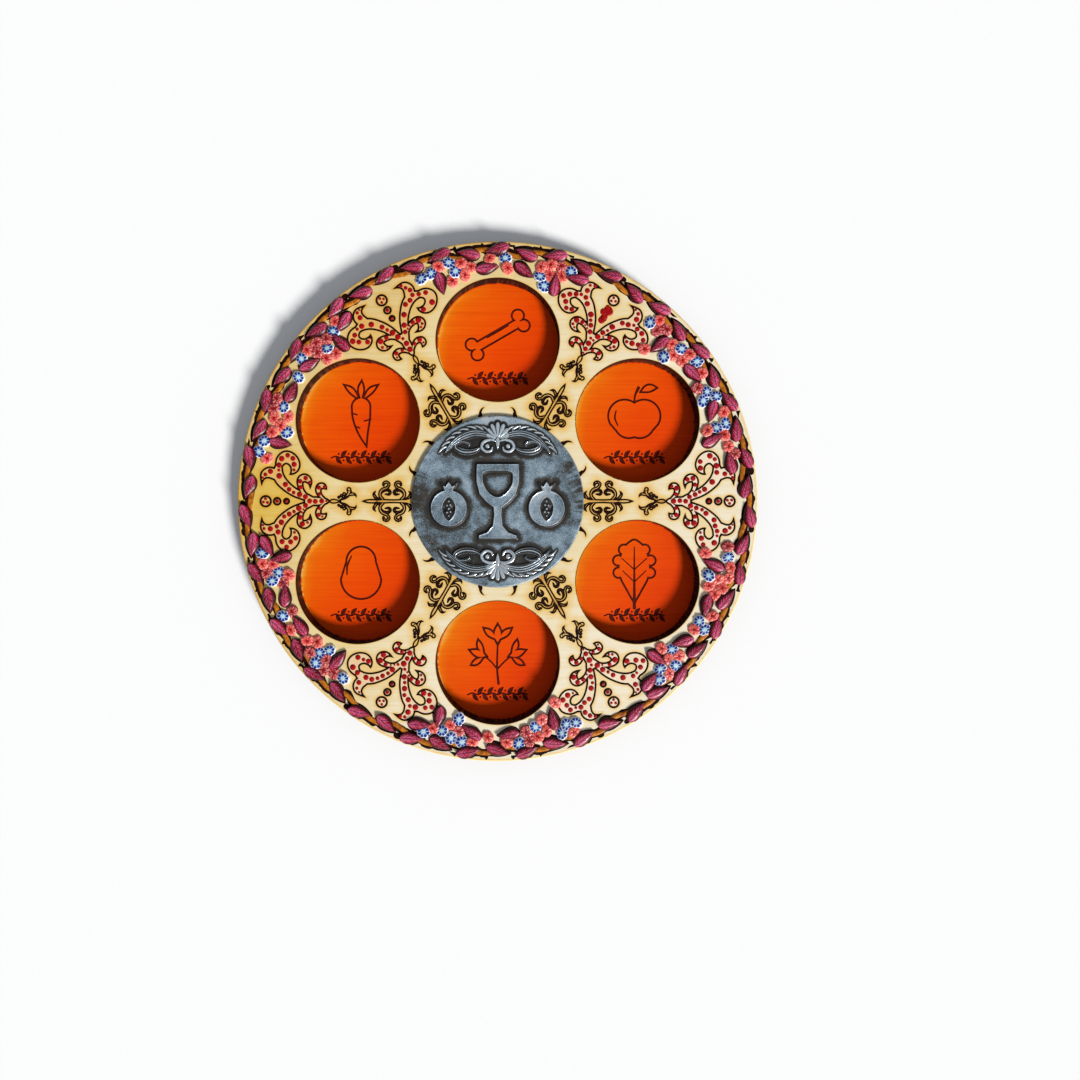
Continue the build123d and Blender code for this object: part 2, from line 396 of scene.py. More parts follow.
def sink(points, faces, kinds, sunk, depth):
    # lowers the marked triangles and walls them in, all as kind 1; also says which old point each point was
    sunk = joinCorners(faces, sunk)
    used = np.unique(faces[sunk])
    lowered = {old: len(points) + k for k, old in enumerate(used)}
    upper = {(a, b) for face in faces[~sunk] for a, b in zip(face, np.roll(face, -1))}
    made, slots = [], []
    for face, kind, low in zip(faces, kinds, sunk):
        made.append([lowered[v] for v in face] if low else list(face))
        slots.append(1 if low else int(kind))
        if low:
            walls = [(a, b) for a, b in zip(face, np.roll(face, -1)) if (b, a) in upper]
            made += [[a, b, lowered[b], lowered[a]] for a, b in walls]
            slots += [1] * len(walls)
    origin = np.concatenate([np.arange(len(points)), used])
    return np.vstack([points, points[used] - (0, 0, depth)]), made, slots, origin


# meshes
class Pile:
    # gathers points, faces and finishes, then makes one welded mesh
    def __init__(self):
        self.points, self.faces, self.slots, self.values, self.leans = [], [], [], [], []
        self.count = 0

    def add(self, points, faces, slots, values=0.0, lean=0.5):
        self.points.append(np.asarray(points, float))
        self.values.append(np.zeros(len(points)) + values)
        self.leans.append(np.zeros(len(points)) + lean)
        self.faces.extend([[int(v) + self.count for v in face] for face in faces])
        self.slots.extend([slots] * len(faces) if isinstance(slots, int) else slots)
        self.count += len(points)

    def build(self, name, finishes, attribute="scorch"):
        mesh = bpy.data.meshes.new(name)
        mesh.from_pydata([tuple(p) for p in np.vstack(self.points) * mm], [], self.faces)
        for finish in finishes:
            mesh.materials.append(finish)
        mesh.polygons.foreach_set("material_index", self.slots)
        for label, parts in ((attribute, self.values), ("lean", self.leans)):
            mesh.attributes.new(label, "FLOAT", "POINT").data.foreach_set("value", np.concatenate(parts))
        work = bmesh.new()
        work.from_mesh(mesh)
        bmesh.ops.remove_doubles(work, verts=work.verts, dist=0.002 * mm)
        loose = [v for v in work.verts if not v.link_faces]
        bmesh.ops.delete(work, geom=loose, context="VERTS")
        work.to_mesh(mesh)
        work.free()
        return mesh


def raised(flat, height):
    return np.column_stack([flat, np.full(len(flat), height)])


def circle(radius, count, centre=(0, 0), start=0.0):
    angles = start + np.arange(count) * fullTurn / count
    return np.column_stack([centre[0] + radius * np.cos(angles), centre[1] + radius * np.sin(angles)])


def ring(radius, height, count, centre=(0, 0), start=0.0):
    return raised(circle(radius, count, centre, start), height)


def loopEdges(count):
    return [(k, (k + 1) % count) for k in range(count)]


def strips(rows, columns, closed=True, inward=False, first=0):
    # quads between rows of points that are numbered row by row
    faces = []
    for i in range(rows - 1):
        for j in range(columns if closed else columns - 1):
            a = first + i * columns + j
            b = first + i * columns + (j + 1) % columns
            faces.append([a, a + columns, b + columns, b] if inward else [a, b, b + columns, a + columns])
    return faces


def band(pile, rings, slot, inward=False, values=0.0):
    # closed strips between rings, the first ring lowest
    faces = strips(len(rings), len(rings[0]))
    pile.add(np.vstack(rings), [face[::-1] for face in faces] if inward else faces, slot, values)


def closeBelow(pile, loop, slot, values=0.0):
    count = len(loop)
    hub = np.vstack([loop, [(0, 0, loop[0][2])]])
    pile.add(hub, [[b, a, count] for a, b in loopEdges(count)], slot, values)


def addPiece(name, mesh, nodes=()):
    piece = bpy.data.objects.new(name, mesh)
    scene.collection.objects.link(piece)
    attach(piece, "root")
    if nodes:
        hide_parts(*nodes)
    print("piece %s: %d faces" % (name, len(mesh.polygons)))


# burnt ornament of one sector, drawn with its axis along +X from the plate's middle
scroll = {
    "lineWidth": 1.12,
    "trunk": [(96.8, 0, 0.6), (99.8, 0, 2.3), (104.6, 0, 3.0), (109.2, 0, 2.7)],
    "arm": [(106.8, 0.8, 2.3), (111.6, 2.9, 2.65), (116.8, 5.1, 2.9), (121.0, 8.0, 3.15), (124.8, 11.9, 3.5),
            (126.6, 15.9, 3.5), (126.2, 19.6, 2.6)],
    "lobe": [(126.5, 16.8, 2.8), (126.0, 20.2, 2.5), (124.6, 23.6, 3.4), (121.8, 25.3, 4.1),
             (118.7, 24.1, 3.9), (116.8, 21.3, 3.4), (116.9, 18.6, 2.6), (118.3, 16.4, 1.3),
             (120.2, 15.2, 0.1)],
    "leafTip": [(127.4, 15.0, 3.4), (131.0, 16.5, 3.6), (134.0, 15.6, 2.8), (135.5, 12.9, 1.4),
                (136.0, 8.8, 0.1)],
    "curl": [(109.2, 1.9, 1.6), (112.6, 6.0, 1.75), (113.8, 10.1, 2.1), (113.2, 12.6, 2.5),
             (111.2, 13.4, 2.75), (109.2, 12.4, 2.3), (108.0, 10.2, 1.3), (108.0, 6.8, 0.1)],
    "smallCurl": [(99.6, 0.8, 1.3), (102.2, 3.4, 1.6), (103.3, 6.2, 2.0), (102.5, 8.5, 2.2),
                  (100.6, 8.8, 2.0), (99.1, 7.6, 1.0), (98.4, 6.4, 0.1)],
    "balls": [(121.6, 0, 2.1), (127.0, 0, 2.55), (133.6, 0, 3.6)],
    "ballWidth": 1.25,
}
palmette = {
    "lineWidth": 0.9,
    "bud": [(90.4, 0, 0.45), (92.7, 0, 1.2), (94.9, 0, 1.5), (97.2, 0, 0.5)],
    "leaf": [(91.2, 0.5, 0.4), (87.7, 2.2, 1.1), (85.4, 4.8, 1.4), (85.7, 6.8, 1.5)],
    "hook": [(86.0, 3.6, 1.0), (83.6, 4.2, 1.1), (81.9, 3.6, 0.7), (81.3, 2.0, 0.1)],
    "ruffles": [(88.4, 4.2, 1.2), (90.0, 3.2, 1.1), (91.5, 2.3, 1.0)],
    "vein": [(88.4, 1.9, 0.2), (85.8, 3.6, 0.25), (84.9, 5.6, 0.25), (86.2, 6.5, 0.2)],
}
cross = {
    "lineWidth": 0.96,
    "band": [(49.4, 0, 2.7), (51.4, 0, 1.9), (53.6, 0, 1.5), (60.7, 0, 1.25), (66.4, 0, 1.45),
             (69.6, 0, 1.1)],
    "spear": [(69.4, 0, 1.05), (71.4, 0, 1.4), (74.2, 0, 1.35), (76.4, 0, 0.9), (78.6, 0, 0.08)],
    "barb": [(67.3, 1.0, 0.75), (69.5, 1.5, 1.0), (71.0, 3.2, 1.05), (71.2, 4.6, 0.8), (70.0, 6.1, 0.15)],
    "scroll": [(66.0, 1.0, 1.1), (67.6, 2.9, 1.15), (67.6, 5.1, 1.15), (66.2, 6.8, 1.15), (64.0, 7.7, 1.1),
               (62.8, 9.0, 1.05), (62.8, 10.2, 1.05), (64.0, 11.0, 1.1), (65.4, 10.5, 1.05),
               (65.8, 9.3, 0.85)],
    "spiral": [(67.0, 4.9, 0.85), (65.3, 6.2, 0.95), (62.8, 6.3, 1.0), (61.9, 5.1, 1.0), (62.7, 3.95, 0.9),
               (64.8, 4.1, 0.5)],
    "middle": 60.75,
}
thorn = {
    "wellOffset": 10.5,
    "points": [(49.0, -1.1, 0.65), (51.2, -0.8, 0.75), (53.0, 0.0, 0.65), (54.2, 1.2, 0.42),
               (54.6, 2.6, 0.08)],
}
rimBurn = {"radius": 146.8, "widths": [1.0, 1.2, 0.8, 1.1, 0.9, 1.25, 0.85, 1.05, 1.0], "slide": 0.9,
           "deep": 0.7, "long": 1.8, "skew": 0.4}

armLines = smoothed(scroll, "arm", "lobe", "leafTip", "curl", "smallCurl")
scrollLines = smoothed(scroll, "trunk") + armLines + flipped(armLines)
ballSpots = [spot(*ball) for ball in scroll["balls"]]
palmetteHalf = smoothed(palmette, "leaf", "hook") + [spot(*ruffle) for ruffle in palmette["ruffles"]]
palmetteLines = smoothed(palmette, "bud") + palmetteHalf + flipped(palmetteHalf)
farScroll = smoothed(cross, "scroll", "spiral", "barb")
nearScroll = [line * (-1, 1, 1) + (2 * cross["middle"], 0, 0) for line in farScroll]
crossHalf = farScroll + nearScroll
crossLines = smoothed(cross, "band", "spear") + crossHalf + flipped(crossHalf)
thornTurn = wedgeAngle / 2 - math.radians(thorn["wellOffset"])
thinHalf = smoothed(palmette, "vein") + [turned(smoothLine(thorn["points"]), thornTurn)]
thinLines = thinHalf + flipped(thinHalf)
rimLines = []
for k, width in enumerate(rimBurn["widths"]):  # a burnt blot at each gap between the leaves
    turn = ((k + 0.5) / len(rimBurn["widths"]) - 0.5) * wedgeAngle
    slide = rimBurn["slide"] * math.sin(5 * k)
    blot = [(rimBurn["radius"] + rimBurn["deep"] * math.sin(a),
             rimBurn["long"] * math.cos(a) + rimBurn["skew"] * a + slide,
             width) for a in np.linspace(0.1, 4.4, 9)]
    rimLines.append(turned(smoothLine(blot, 3), turn))


def ornamentGaps(x, y):
    # gap to the burnt lines, to the painted shapes inside them, and to all lines with the blots at the rim
    painted = strokeGap(scrollLines + ballSpots, x, y)
    lines = drawnGap(painted, scroll["lineWidth"])
    for bodies, width in ((ballSpots, scroll["ballWidth"]), (palmetteLines, palmette["lineWidth"]),
                          (crossLines, cross["lineWidth"])):
        lines = np.minimum(lines, drawnGap(strokeGap(bodies, x, y), width))
    lines = np.minimum(lines, strokeGap(thinLines, x, y))
    return lines, painted, np.minimum(lines, strokeGap(rimLines, x, y))


def fineGap(x, y):
    return strokeGap(palmetteLines + crossLines, x, y)


# top board: one engraved wedge, turned round, with charred walls
topBoard = {
    "lineField": (49, 150, -31, 31), "cell": 0.34, "grooveDepth": 0.35,
    "haloField": (45, 152, -36, 36), "haloCell": 1.1, "halo": (0.6, 2.0), "haloBurn": 0.5,
    "glow": 4.5, "glowBurn": 0.52, "insideBurn": 0.66,
    "charRing": 0.35, "wellBurn": (0.9, 0.9), "rimBurn": (1.2, 0.5),  # reach and strength
    "wellSteps": 96, "rimSteps": 120, "softEdge": (0.25, 0.2),
}
wellCount = 2 * topBoard["wellSteps"]
rimCount = wedgeCount * topBoard["rimSteps"]


def wedgeOutline():
    sweep = np.linspace(math.pi, 0, topBoard["wellSteps"] + 1)
    near, far = wellPitch - wellRadius, wellPitch + wellRadius
    char = topBoard["charRing"]
    spine = np.array([0, 16, 32, 44, 52, near - 1.1, near - char])
    outer = np.array([far + char, far + 1.1, far + 5, far + 10, rimRadius - 4, rimRadius - 1.3])
    arc = np.column_stack([wellPitch + wellRadius * np.cos(sweep), wellRadius * np.sin(sweep)])
    right = np.vstack([np.column_stack([spine, 0 * spine]), arc, np.column_stack([outer, 0 * outer])])
    angles = np.linspace(*wedgeSides, topBoard["rimSteps"] + 1)
    rim = np.column_stack([rimRadius * np.cos(angles), rimRadius * np.sin(angles)])
    left = (right * (1, -1))[::-1][:-1]
    return np.vstack([turned(right, wedgeSides[0]), rim, turned(left, wedgeSides[1])])


def wellGap(flat):
    # distance outside the nearer of the wedge's two wells
    return np.minimum(*[reachOf(flat - well) for well in sideWells]) - wellRadius


def onBoard(flat, faces):
    # leaves out triangles inside the wells, and slivers along the wedge's straight sides
    inset = wellRadius * (math.cos(math.pi / wellCount) - 1)
    keep = wellGap(flat[faces].mean(axis=1)) > inset
    for angle in wedgeSides:
        aside = np.abs(flat[:, 1] * math.cos(angle) - flat[:, 0] * math.sin(angle))
        keep &= (aside > 0.001)[faces].any(axis=1)
    return faces[keep]


def fading(gap, reach, power=1.0):
    return np.clip(1 - gap / reach, 0, 1) ** power


def engravedWedge():
    points = list(wedgeOutline())
    edges = loopEdges(len(points))
    x, y = grid(*topBoard["lineField"], topBoard["cell"])
    addContour(points, edges, *contour(ornamentGaps(x, y)[2], x, y, 0.0))
    x, y = grid(*topBoard["haloField"], topBoard["haloCell"])
    lines, fine = ornamentGaps(x, y)[0], fineGap(x, y)
    loose = []  # points that only carry the scorching
    levels = [(lines, level) for level in topBoard["halo"]]
    levels += [(fine, topBoard["glow"] * share) for share in (0.3, 1)]
    for gap, level in levels:
        loose += contour(gap, x, y, level)[0]
    for angle, well in zip(wedgeSides, sideWells):
        for inset, count in ((1.0, 150), (topBoard["charRing"], wellCount)):
            loose += list(circle(wellRadius + inset, count, well, angle))
    for inset in (1.3, 2.6):
        loose += list(circle(rimRadius - inset, 400))
    points += [p for p in loose if abs(math.atan2(p[1], p[0])) < wedgeAngle / 2 - 0.004
               and math.hypot(*p) < rimRadius - 0.6]
    flat, faces = triangles(points, edges)
    faces = onBoard(flat, faces)
    gaps, fine = ornamentGaps(*flat.T)[0], fineGap(*flat.T)
    scorch = fading(np.maximum(gaps, 0), topBoard["halo"][1], 2) * topBoard["haloBurn"]
    scorch = np.maximum(scorch, fading(fine, topBoard["glow"], 1.4) * topBoard["glowBurn"])
    scorch = np.where(fine < -0.3, topBoard["insideBurn"], scorch)
    for gap, key in ((wellGap(flat), "wellBurn"), (rimRadius - reachOf(flat), "rimBurn")):
        reach, strength = topBoard[key]
        scorch = np.maximum(scorch, fading(gap, reach) * strength)
    centres = flat[faces].mean(axis=1)
    painted, lines = ornamentGaps(*centres.T)[1:]
    charred = wellGap(centres) < topBoard["charRing"] * 0.85
    kinds = np.where(charred, 3, np.where(painted < -scroll["lineWidth"], 2, 0))
    solid, made, slots, origin = sink(raised(flat, boardTop), faces, kinds, lines < 0,
                                      topBoard["grooveDepth"])
    return solid, made, slots, scorch[origin]


def addRound(pile, *parts):
    for k in range(wedgeCount):
        for points, *rest in parts:
            pile.add(turned(points, k * wedgeAngle), *rest)


def glueFace():
    # plain wedge where the two boards meet
    outline = wedgeOutline()
    flat, faces = triangles(outline, loopEdges(len(outline)))
    return raised(flat, boardLow), onBoard(flat, faces)


def rimRing(radius, height):
    return ring(radius, height, rimCount, start=wedgeSides[0])


def buildTopBoard():
    pile = Pile()
    points, faces = glueFace()
    addRound(pile, engravedWedge(), (points, faces[:, ::-1], 3))
    softOut, softDown = topBoard["softEdge"]
    rims = [(rimRadius, boardLow), (plateRadius, boardLow + 0.01),
            (plateRadius, boardTop + rimRadius - plateRadius),
            (rimRadius + softOut, boardTop - softDown), (rimRadius, boardTop)]
    loops = [rimRing(*rim) for rim in rims]
    band(pile, loops[:3], 3, values=0.3)
    band(pile, loops[2:], 0, values=0.35)
    for well in wells:
        turn = math.atan2(well[1], well[0])
        walls = [ring(wellRadius, height, wellCount, well, turn) for height in (boardLow, boardTop)]
        # the well walls get the highest value, so the darkest edge: painted shade
        band(pile, walls, 3, True, values=1.0)
    return pile.build("top_board_wood", [birch, burntLine, blush, charredEdge])


addPiece("top_board_wood", buildTopBoard(), ["top_board"])


# base board: stained well floors, each with a burnt picture of a food
def both(*strokes):
    return list(strokes) + [[(-x, y, half) for x, y, half in stroke] for stroke in strokes]


def knob(x, y, radius):
    return [(x, y, radius), (x - math.copysign(0.1, x), y, radius)]


pictures = {
    "lineWidth": 1.2, "cell": 0.32, "field": (-26, 26, -26, 28), "grooveDepth": 0.3, "grow": 1.22,
    "raise": 5.0,  # the picture is enlarged and raised
    "twig": {"drop": -20.5, "step": 2.95, "stem": 0.42, "half": 1.25, "berry": 0.62},
    "order": ["apple", "bone", "root", "egg", "sprig", "herb"],  # from the first well round
    # each has bodies, drawn in outline, and lines
    "egg": ([[(0, -3.5, 10.2), (0, 5, 7.6)]], [[(-4.6, 7.6, 0.3), (-6.6, 3, 0.5), (-6.8, -1.5, 0.3)]]),
    "bone": ([[(-9.5, -5.5, 2.7), (9.5, 5.5, 2.7)], knob(-12.6, -4.6, 3.4), knob(-9.8, -9.4, 3.4),
              knob(12.6, 4.6, 3.4), knob(9.8, 9.4, 3.4)],
             [[(-5, -1.2, 0.35), (0, 1.7, 0.45), (5, 4.6, 0.35)]]),
    "apple": (both([(4.7, -1, 8.4), (2.6, -4.6, 7.6)])
              + [[(2.6, 10.4, 0.4), (7, 12.4, 2.3), (11.6, 12.6, 0.3)]],
              [[(0, 5.6, 0.4), (0.4, 9, 0.5), (2, 12.6, 0.8)],
               [(-8.8, 1.6, 0.3), (-9.4, -2, 0.45), (-8, -5.6, 0.3)]]),
    "herb": ([[(0, -14, 1.2), (0, -7, 4.6), (0, 1, 8), (0, 8, 6.6), (0, 13, 3)]]
             + both(knob(7.6, -0.5, 3), knob(7.8, 5.4, 3), knob(5, 10.6, 3)),
             [[(0, -17.5, 0.8), (0, 0, 0.45), (0, 12, 0.25)]]
             + both([(0, -5, 0.3), (5.6, 0.4, 0.25)], [(0, 1, 0.3), (6, 6.4, 0.25)])),
    "sprig": ([[(0, 3, 0.7), (0, 8, 2.5), (0, 13.6, 0.3)]]
              + both([(0, 5, 0.6), (3.8, 8.4, 2.1), (7.4, 11.4, 0.3)],
                     [(5, -3, 0.6), (9.4, -1.4, 2.4), (14.4, 0.6, 0.3)],
                     [(6.4, -2.6, 0.6), (8.6, 2, 1.9), (9.6, 6, 0.3)],
                     [(6.4, -2.6, 0.6), (10.2, -5.4, 1.9), (13.4, -7.2, 0.3)]),
              [[(0.4, -16, 0.6), (-0.3, -8, 0.5), (0, 4, 0.4)],
               [(-0.2, -9, 0.4), (3, -5.6, 0.4), (6, -3, 0.35)],
               [(-0.2, -9, 0.4), (-3, -5.6, 0.4), (-6, -3, 0.35)]]),
    "root": ([[(0, 3.4, 5), (0.2, -2, 4.6), (1, -9, 2.8), (2.8, -16.4, 0.3)],
              [(0, 7, 1), (0, 12, 2), (0.4, 17, 0.2)]]
             + both([(1, 7, 0.8), (4.8, 11.4, 1.9), (9, 14.6, 0.2)]),
             [[(-4.6, 0.4, 0.3), (-2, -0.4, 0.4)], [(4.8, -2.6, 0.3), (1.6, -3.4, 0.4)],
              [(-3, -6, 0.3), (-0.6, -6.8, 0.4)]]),
}
baseBoard = {"edge": 0.8, "glow": 7.0, "edgePale": 0.35, "paintedLightPale": 0.24, "edgeBurn": 0.9,
             "bottomBreak": 0.8, "rings": (0.8, 2.5, 4.8, 7.2, 14.0, 22.0)}


def pictureGap(bodies, lines, x, y):
    return np.minimum(drawnGap(strokeGap(bodies, x, y), pictures["lineWidth"]), strokeGap(lines, x, y))


def enlarged(line):
    line = np.array(line, float) * pictures["grow"] + (0, pictures["raise"], 0)
    return smoothLine(line) if len(line) > 2 else line


def twigLines():
    # a low twig with leaves and berries below each picture
    twig = pictures["twig"]
    y, step = twig["drop"], twig["step"]
    lines = [smoothLine([(k * step, y - 0.5 * (-1) ** k, twig["stem"]) for k in range(-6, 7)], 4)]
    for k in range(-5, 6):
        x, side = k * step, (-1) ** k
        tip = [(x, y, 0.2), (x + 1.5, y + side * 2.1, twig["half"]), (x + 3.5, y + side * 4.1, 0.1)]
        lines += [smoothLine(tip, 4), spot(x + 1.5, y - side * 1.9, twig["berry"])]
    return lines


def wellFloor(pile, centre, picture):
    bodies, lines = [[enlarged(line) for line in part] for part in pictures[picture]]
    lines += twigLines()
    turn = math.atan2(centre[1], centre[0])
    points = list(circle(wellRadius, wellCount, start=turn))
    edges = loopEdges(wellCount)
    for inset in baseBoard["rings"]:
        points += list(circle(wellRadius - inset, 120, start=turn + 0.01))
    x, y = grid(*pictures["field"], pictures["cell"])
    addContour(points, edges, *contour(pictureGap(bodies, lines, x, y), x, y, 0.0))
    flat, faces = triangles(points, edges)
    sunk = pictureGap(bodies, lines, *flat[faces].mean(axis=1).T) < 0
    edge, glow = [fading(wellRadius - reachOf(flat), baseBoard[key]) for key in ("edge", "glow")]
    left = np.clip(-flat[:, 0] / wellRadius, 0, 1) ** 1.5  # paler there; elsewhere darker at the foot of the wall, painted shade
    scorch = edge * (1 - left) * baseBoard["edgeBurn"]
    # painted light: lower lean, so yellower, on the lit upper left of each floor, higher, so redder, towards
    # the shaded lower right; near the left wall it is lowered again, a thin unstained edge and a wider
    # painted light
    lean = np.clip((flat @ np.array((0.8, -0.6)) / wellRadius + 1) / 2, 0, 1)
    lean -= (edge * baseBoard["edgePale"] + glow * baseBoard["paintedLightPale"]) * left
    solid, made, slots, origin = sink(raised(flat + centre, boardLow), faces, 0 * sunk, sunk,
                                      pictures["grooveDepth"])
    pile.add(solid, made, slots, scorch[origin], lean[origin])


def buildBaseBoard():
    pile = Pile()
    for centre, picture in zip(wells, pictures["order"]):
        wellFloor(pile, centre, picture)
    addRound(pile, (*glueFace(), 2))
    lowRadius = plateRadius - baseBoard["bottomBreak"]
    rims = [(lowRadius, 0), (plateRadius, baseBoard["bottomBreak"]), (plateRadius, boardLow - 0.01),
            (rimRadius, boardLow)]
    band(pile, [rimRing(*rim) for rim in rims], 3, values=0.8)
    rings = [rimRing(lowRadius * share, 0) for share in (1.0, 0.985)]
    band(pile, rings, 2, True, np.repeat((0.8, 0.0), rimCount))
    closeBelow(pile, rings[1], 2)
    return pile.build("base_board_wood", [stain, stainedLine, birch, charredEdge])


addPiece("base_board_wood", buildBaseBoard(), ["base_board"])


# geometry trees, run on a holder and kept as plain meshes
def startTree(name, inputs, result):
    tree = bpy.data.node_groups.new(name, "GeometryNodeTree")
    names = {}
    for label, kind in inputs.items():
        made = tree.interface.new_socket(label, in_out="INPUT", socket_type="NodeSocket" + kind)
        names[label] = made.identifier
    tree.interface.new_socket(result, in_out="OUTPUT", socket_type="NodeSocketGeometry")
    return tree, names, addNode(tree, "NodeGroupInput").outputs


def endTree(tree, shape, finish):
    whole = nodeOut(tree, "GeometryNodeRealizeInstances", {"Geometry": shape})
    whole = nodeOut(tree, "GeometryNodeSetMaterial", {"Geometry": whole, "Material": finish})
    addNode(tree, "NodeGroupOutput", {0: whole})


def runTree(name, data, tree, names, values):
    holder = bpy.data.objects.new(name, data)
    modifier = holder.modifiers.new("tree", "NODES")
    modifier.node_group = tree
    for label, value in values.items():
        modifier[names[label]] = value
    scene.collection.objects.link(holder)
    view = bpy.context.evaluated_depsgraph_get()
    mesh = bpy.data.meshes.new_from_object(holder.evaluated_get(view), depsgraph=view)
    mesh.name = name
    holder.modifiers.clear()
    bpy.data.objects.remove(holder)
    return mesh


def scatterTree():
    # lays forms on points, each with its own turn and size
    tree, names, given = startTree("scatter_forms", {
        "Points": "Geometry", "Forms": "Collection", "Finish": "Material", "Size spread": "Float",
        "Tilt": "Float", "Kinds": "Int", "Seed": "Int"}, "Pieces")

    def chosen(kind, output, inputs, seed=given["Seed"]):
        return nodeOut(tree, "FunctionNodeRandomValue", {**inputs, "Seed": seed}, output, data_type=kind)

    def vector(operation, inputs):
        return nodeOut(tree, "ShaderNodeVectorMath", inputs, operation=operation)

    turn, size = [nodeOut(tree, "GeometryNodeInputNamedAttribute", {"Name": label}, data_type="FLOAT_VECTOR")
                  for label in ("turn", "size")]
    least, last = [nodeOut(tree, "ShaderNodeMath", inputs, operation="SUBTRACT")
                   for inputs in ({0: 1.0, 1: given["Size spread"]}, {0: given["Kinds"], 1: 1.0})]
    lean = nodeOut(tree, "ShaderNodeCombineXYZ", {"X": given["Tilt"], "Y": given["Tilt"]})
    wobble = chosen("FLOAT_VECTOR", 0, {0: vector("SCALE", {0: lean, "Scale": -1.0}), 1: lean})
    turn = nodeOut(tree, "FunctionNodeEulerToRotation", {0: vector("ADD", {0: turn, 1: wobble})})
    size = vector("SCALE", {0: size, "Scale": chosen("FLOAT", 1, {2: least, 3: 1.0})})
    forms = nodeOut(tree, "GeometryNodeCollectionInfo", {
        "Collection": given["Forms"], "Separate Children": True, "Reset Children": True})
    laid = nodeOut(tree, "GeometryNodeInstanceOnPoints", {
        "Points": given["Points"], "Instance": forms, "Pick Instance": True,
        "Instance Index": chosen("INT", 2, {4: 0, 5: last}), "Rotation": turn, "Scale": size})
    laid = nodeOut(tree, "GeometryNodeStoreNamedAttribute", {
        "Geometry": laid, "Name": "tone", "Value": chosen("FLOAT", 1, {2: 0.0, 3: 1.0}, 5)},
        data_type="FLOAT", domain="INSTANCE")
    endTree(tree, laid, given["Finish"])
    return tree, names


scatterForms, scatterNames = scatterTree()


def formMesh(name, points, faces, spots):
    # a form about one unit long; spots are the shader's own coordinates
    mesh = bpy.data.meshes.new(name)
    mesh.from_pydata([tuple(p) for p in points], [], faces)
    made = mesh.attributes.new("spot", "FLOAT_VECTOR", "POINT")
    made.data.foreach_set("vector", np.asarray(spots, float).ravel())
    mesh.shade_smooth()
    mesh.set_sharp_from_angle(angle=math.radians(50))
    return mesh


def scatter(name, places, forms, finish, spread, tilt, seed):
    # places hold x, y, z, turn, and the sizes along, across and up
    places = np.array(places, float)
    shelf = bpy.data.collections.new(name + "_forms")
    for mesh in forms:
        shelf.objects.link(bpy.data.objects.new(mesh.name, mesh))
    points = bpy.data.meshes.new(name + "_points")
    points.from_pydata([tuple(p[:3] * mm) for p in places], [], [])
    turns = np.column_stack([0 * places[:, 3], 0 * places[:, 3], places[:, 3]])
    for label, vectors in (("turn", turns), ("size", places[:, 4:7] * mm)):
        points.attributes.new(label, "FLOAT_VECTOR", "POINT").data.foreach_set("vector", vectors.ravel())
    mesh = runTree(name, points, scatterForms, scatterNames, {
        "Forms": shelf, "Finish": finish, "Size spread": spread, "Tilt": tilt, "Kinds": len(forms),
        "Seed": seed})
    for item in list(shelf.objects):
        bpy.data.objects.remove(item)
    bpy.data.collections.remove(shelf)
    return mesh


# red paint dots inside the scrolls
dots = {
    "seed": 11, "largest": 1.8, "least": 0.5, "narrowest": 1.5, "apart": 0.25, "margin": 1.25,
    "passes": [(4.0, 0.74), (0.7, 0.42)],  # step along the scroll, and share of its half width
    "ballDots": [0.85, 1.2], "threeReach": 1.35, "rise": 0.3, "sides": 14, "runSector": 1,
    "run": [(120.2, 0.3, 2.1), (122.8, -0.3, 1.8), (125.0, 1.6, 2.2), (126.6, -0.9, 2.6), (128.4, 0.8, 1.5)],
}


def walkDots(line, step, share, chance, taken):
    walked, due, side = 0.0, 0.5, 1
    for a, b in zip(line, line[1:]):
        stretch = math.hypot(b[0] - a[0], b[1] - a[1])
        while walked + stretch >= due:
            x, y, half = a + (b - a) * (due - walked) / stretch
            radius = min(dots["largest"], half * share) * chance.uniform(0.8, 1.0)
            swing = side * max(half - radius - dots["margin"], 0) * chance.uniform(0.7, 1.0)
            x -= swing * (b[1] - a[1]) / stretch
            y += swing * (b[0] - a[0]) / stretch
            side = -side
            due += step * chance.uniform(0.86, 1.08) * (0.82 if half > 2.7 else 1.0)
            clear = all(math.hypot(x - p, y - q) > radius + r + dots["apart"] for p, q, r in taken)
            if radius > dots["least"] and clear and half > dots["narrowest"]:
                taken.append((x, y, radius))
        walked += stretch


def dotPlaces():
    chance = random.Random(dots["seed"])
    places = []
    for k in range(wedgeCount):
        taken = [(ball[0], 0, radius) for ball, radius in zip(scroll["balls"], dots["ballDots"])]
        if k == dots["runSector"]:  # here the paint has run over two balls
            taken = list(dots["run"])
        for turn in range(3):
            angle = turn * 2.09 + chance.uniform(0.3, 0.7)
            x = scroll["balls"][2][0] + dots["threeReach"] * math.cos(angle)
            taken.append((x, dots["threeReach"] * math.sin(angle), chance.uniform(0.8, 0.95)))
        for step, share in dots["passes"]:
            for line in scrollLines:
                walkDots(line, step, share, chance, taken)
        for x, y, radius in taken:
            place = turned([(x, y)], k * wedgeAngle)[0]
            places.append((*place, boardTop, 0.0, radius, radius, dots["rise"]))
    return places


def dotForm():
    sides = dots["sides"]
    points = np.vstack([ring(1.0, -0.15, sides), ring(0.96, 0.5, sides), ring(0.6, 0.9, sides),
                        [(0, 0, 1.0)]])
    faces = strips(3, sides) + [[2 * sides + a, 2 * sides + b, 3 * sides] for a, b in loopEdges(sides)]
    faces.append(list(range(sides))[::-1])
    return formMesh("dot", points, faces, points)


addPiece("painted_dots", scatter("painted_dots", dotPlaces(), [dotForm()], redPaint, 0.05, 0.0, 3))


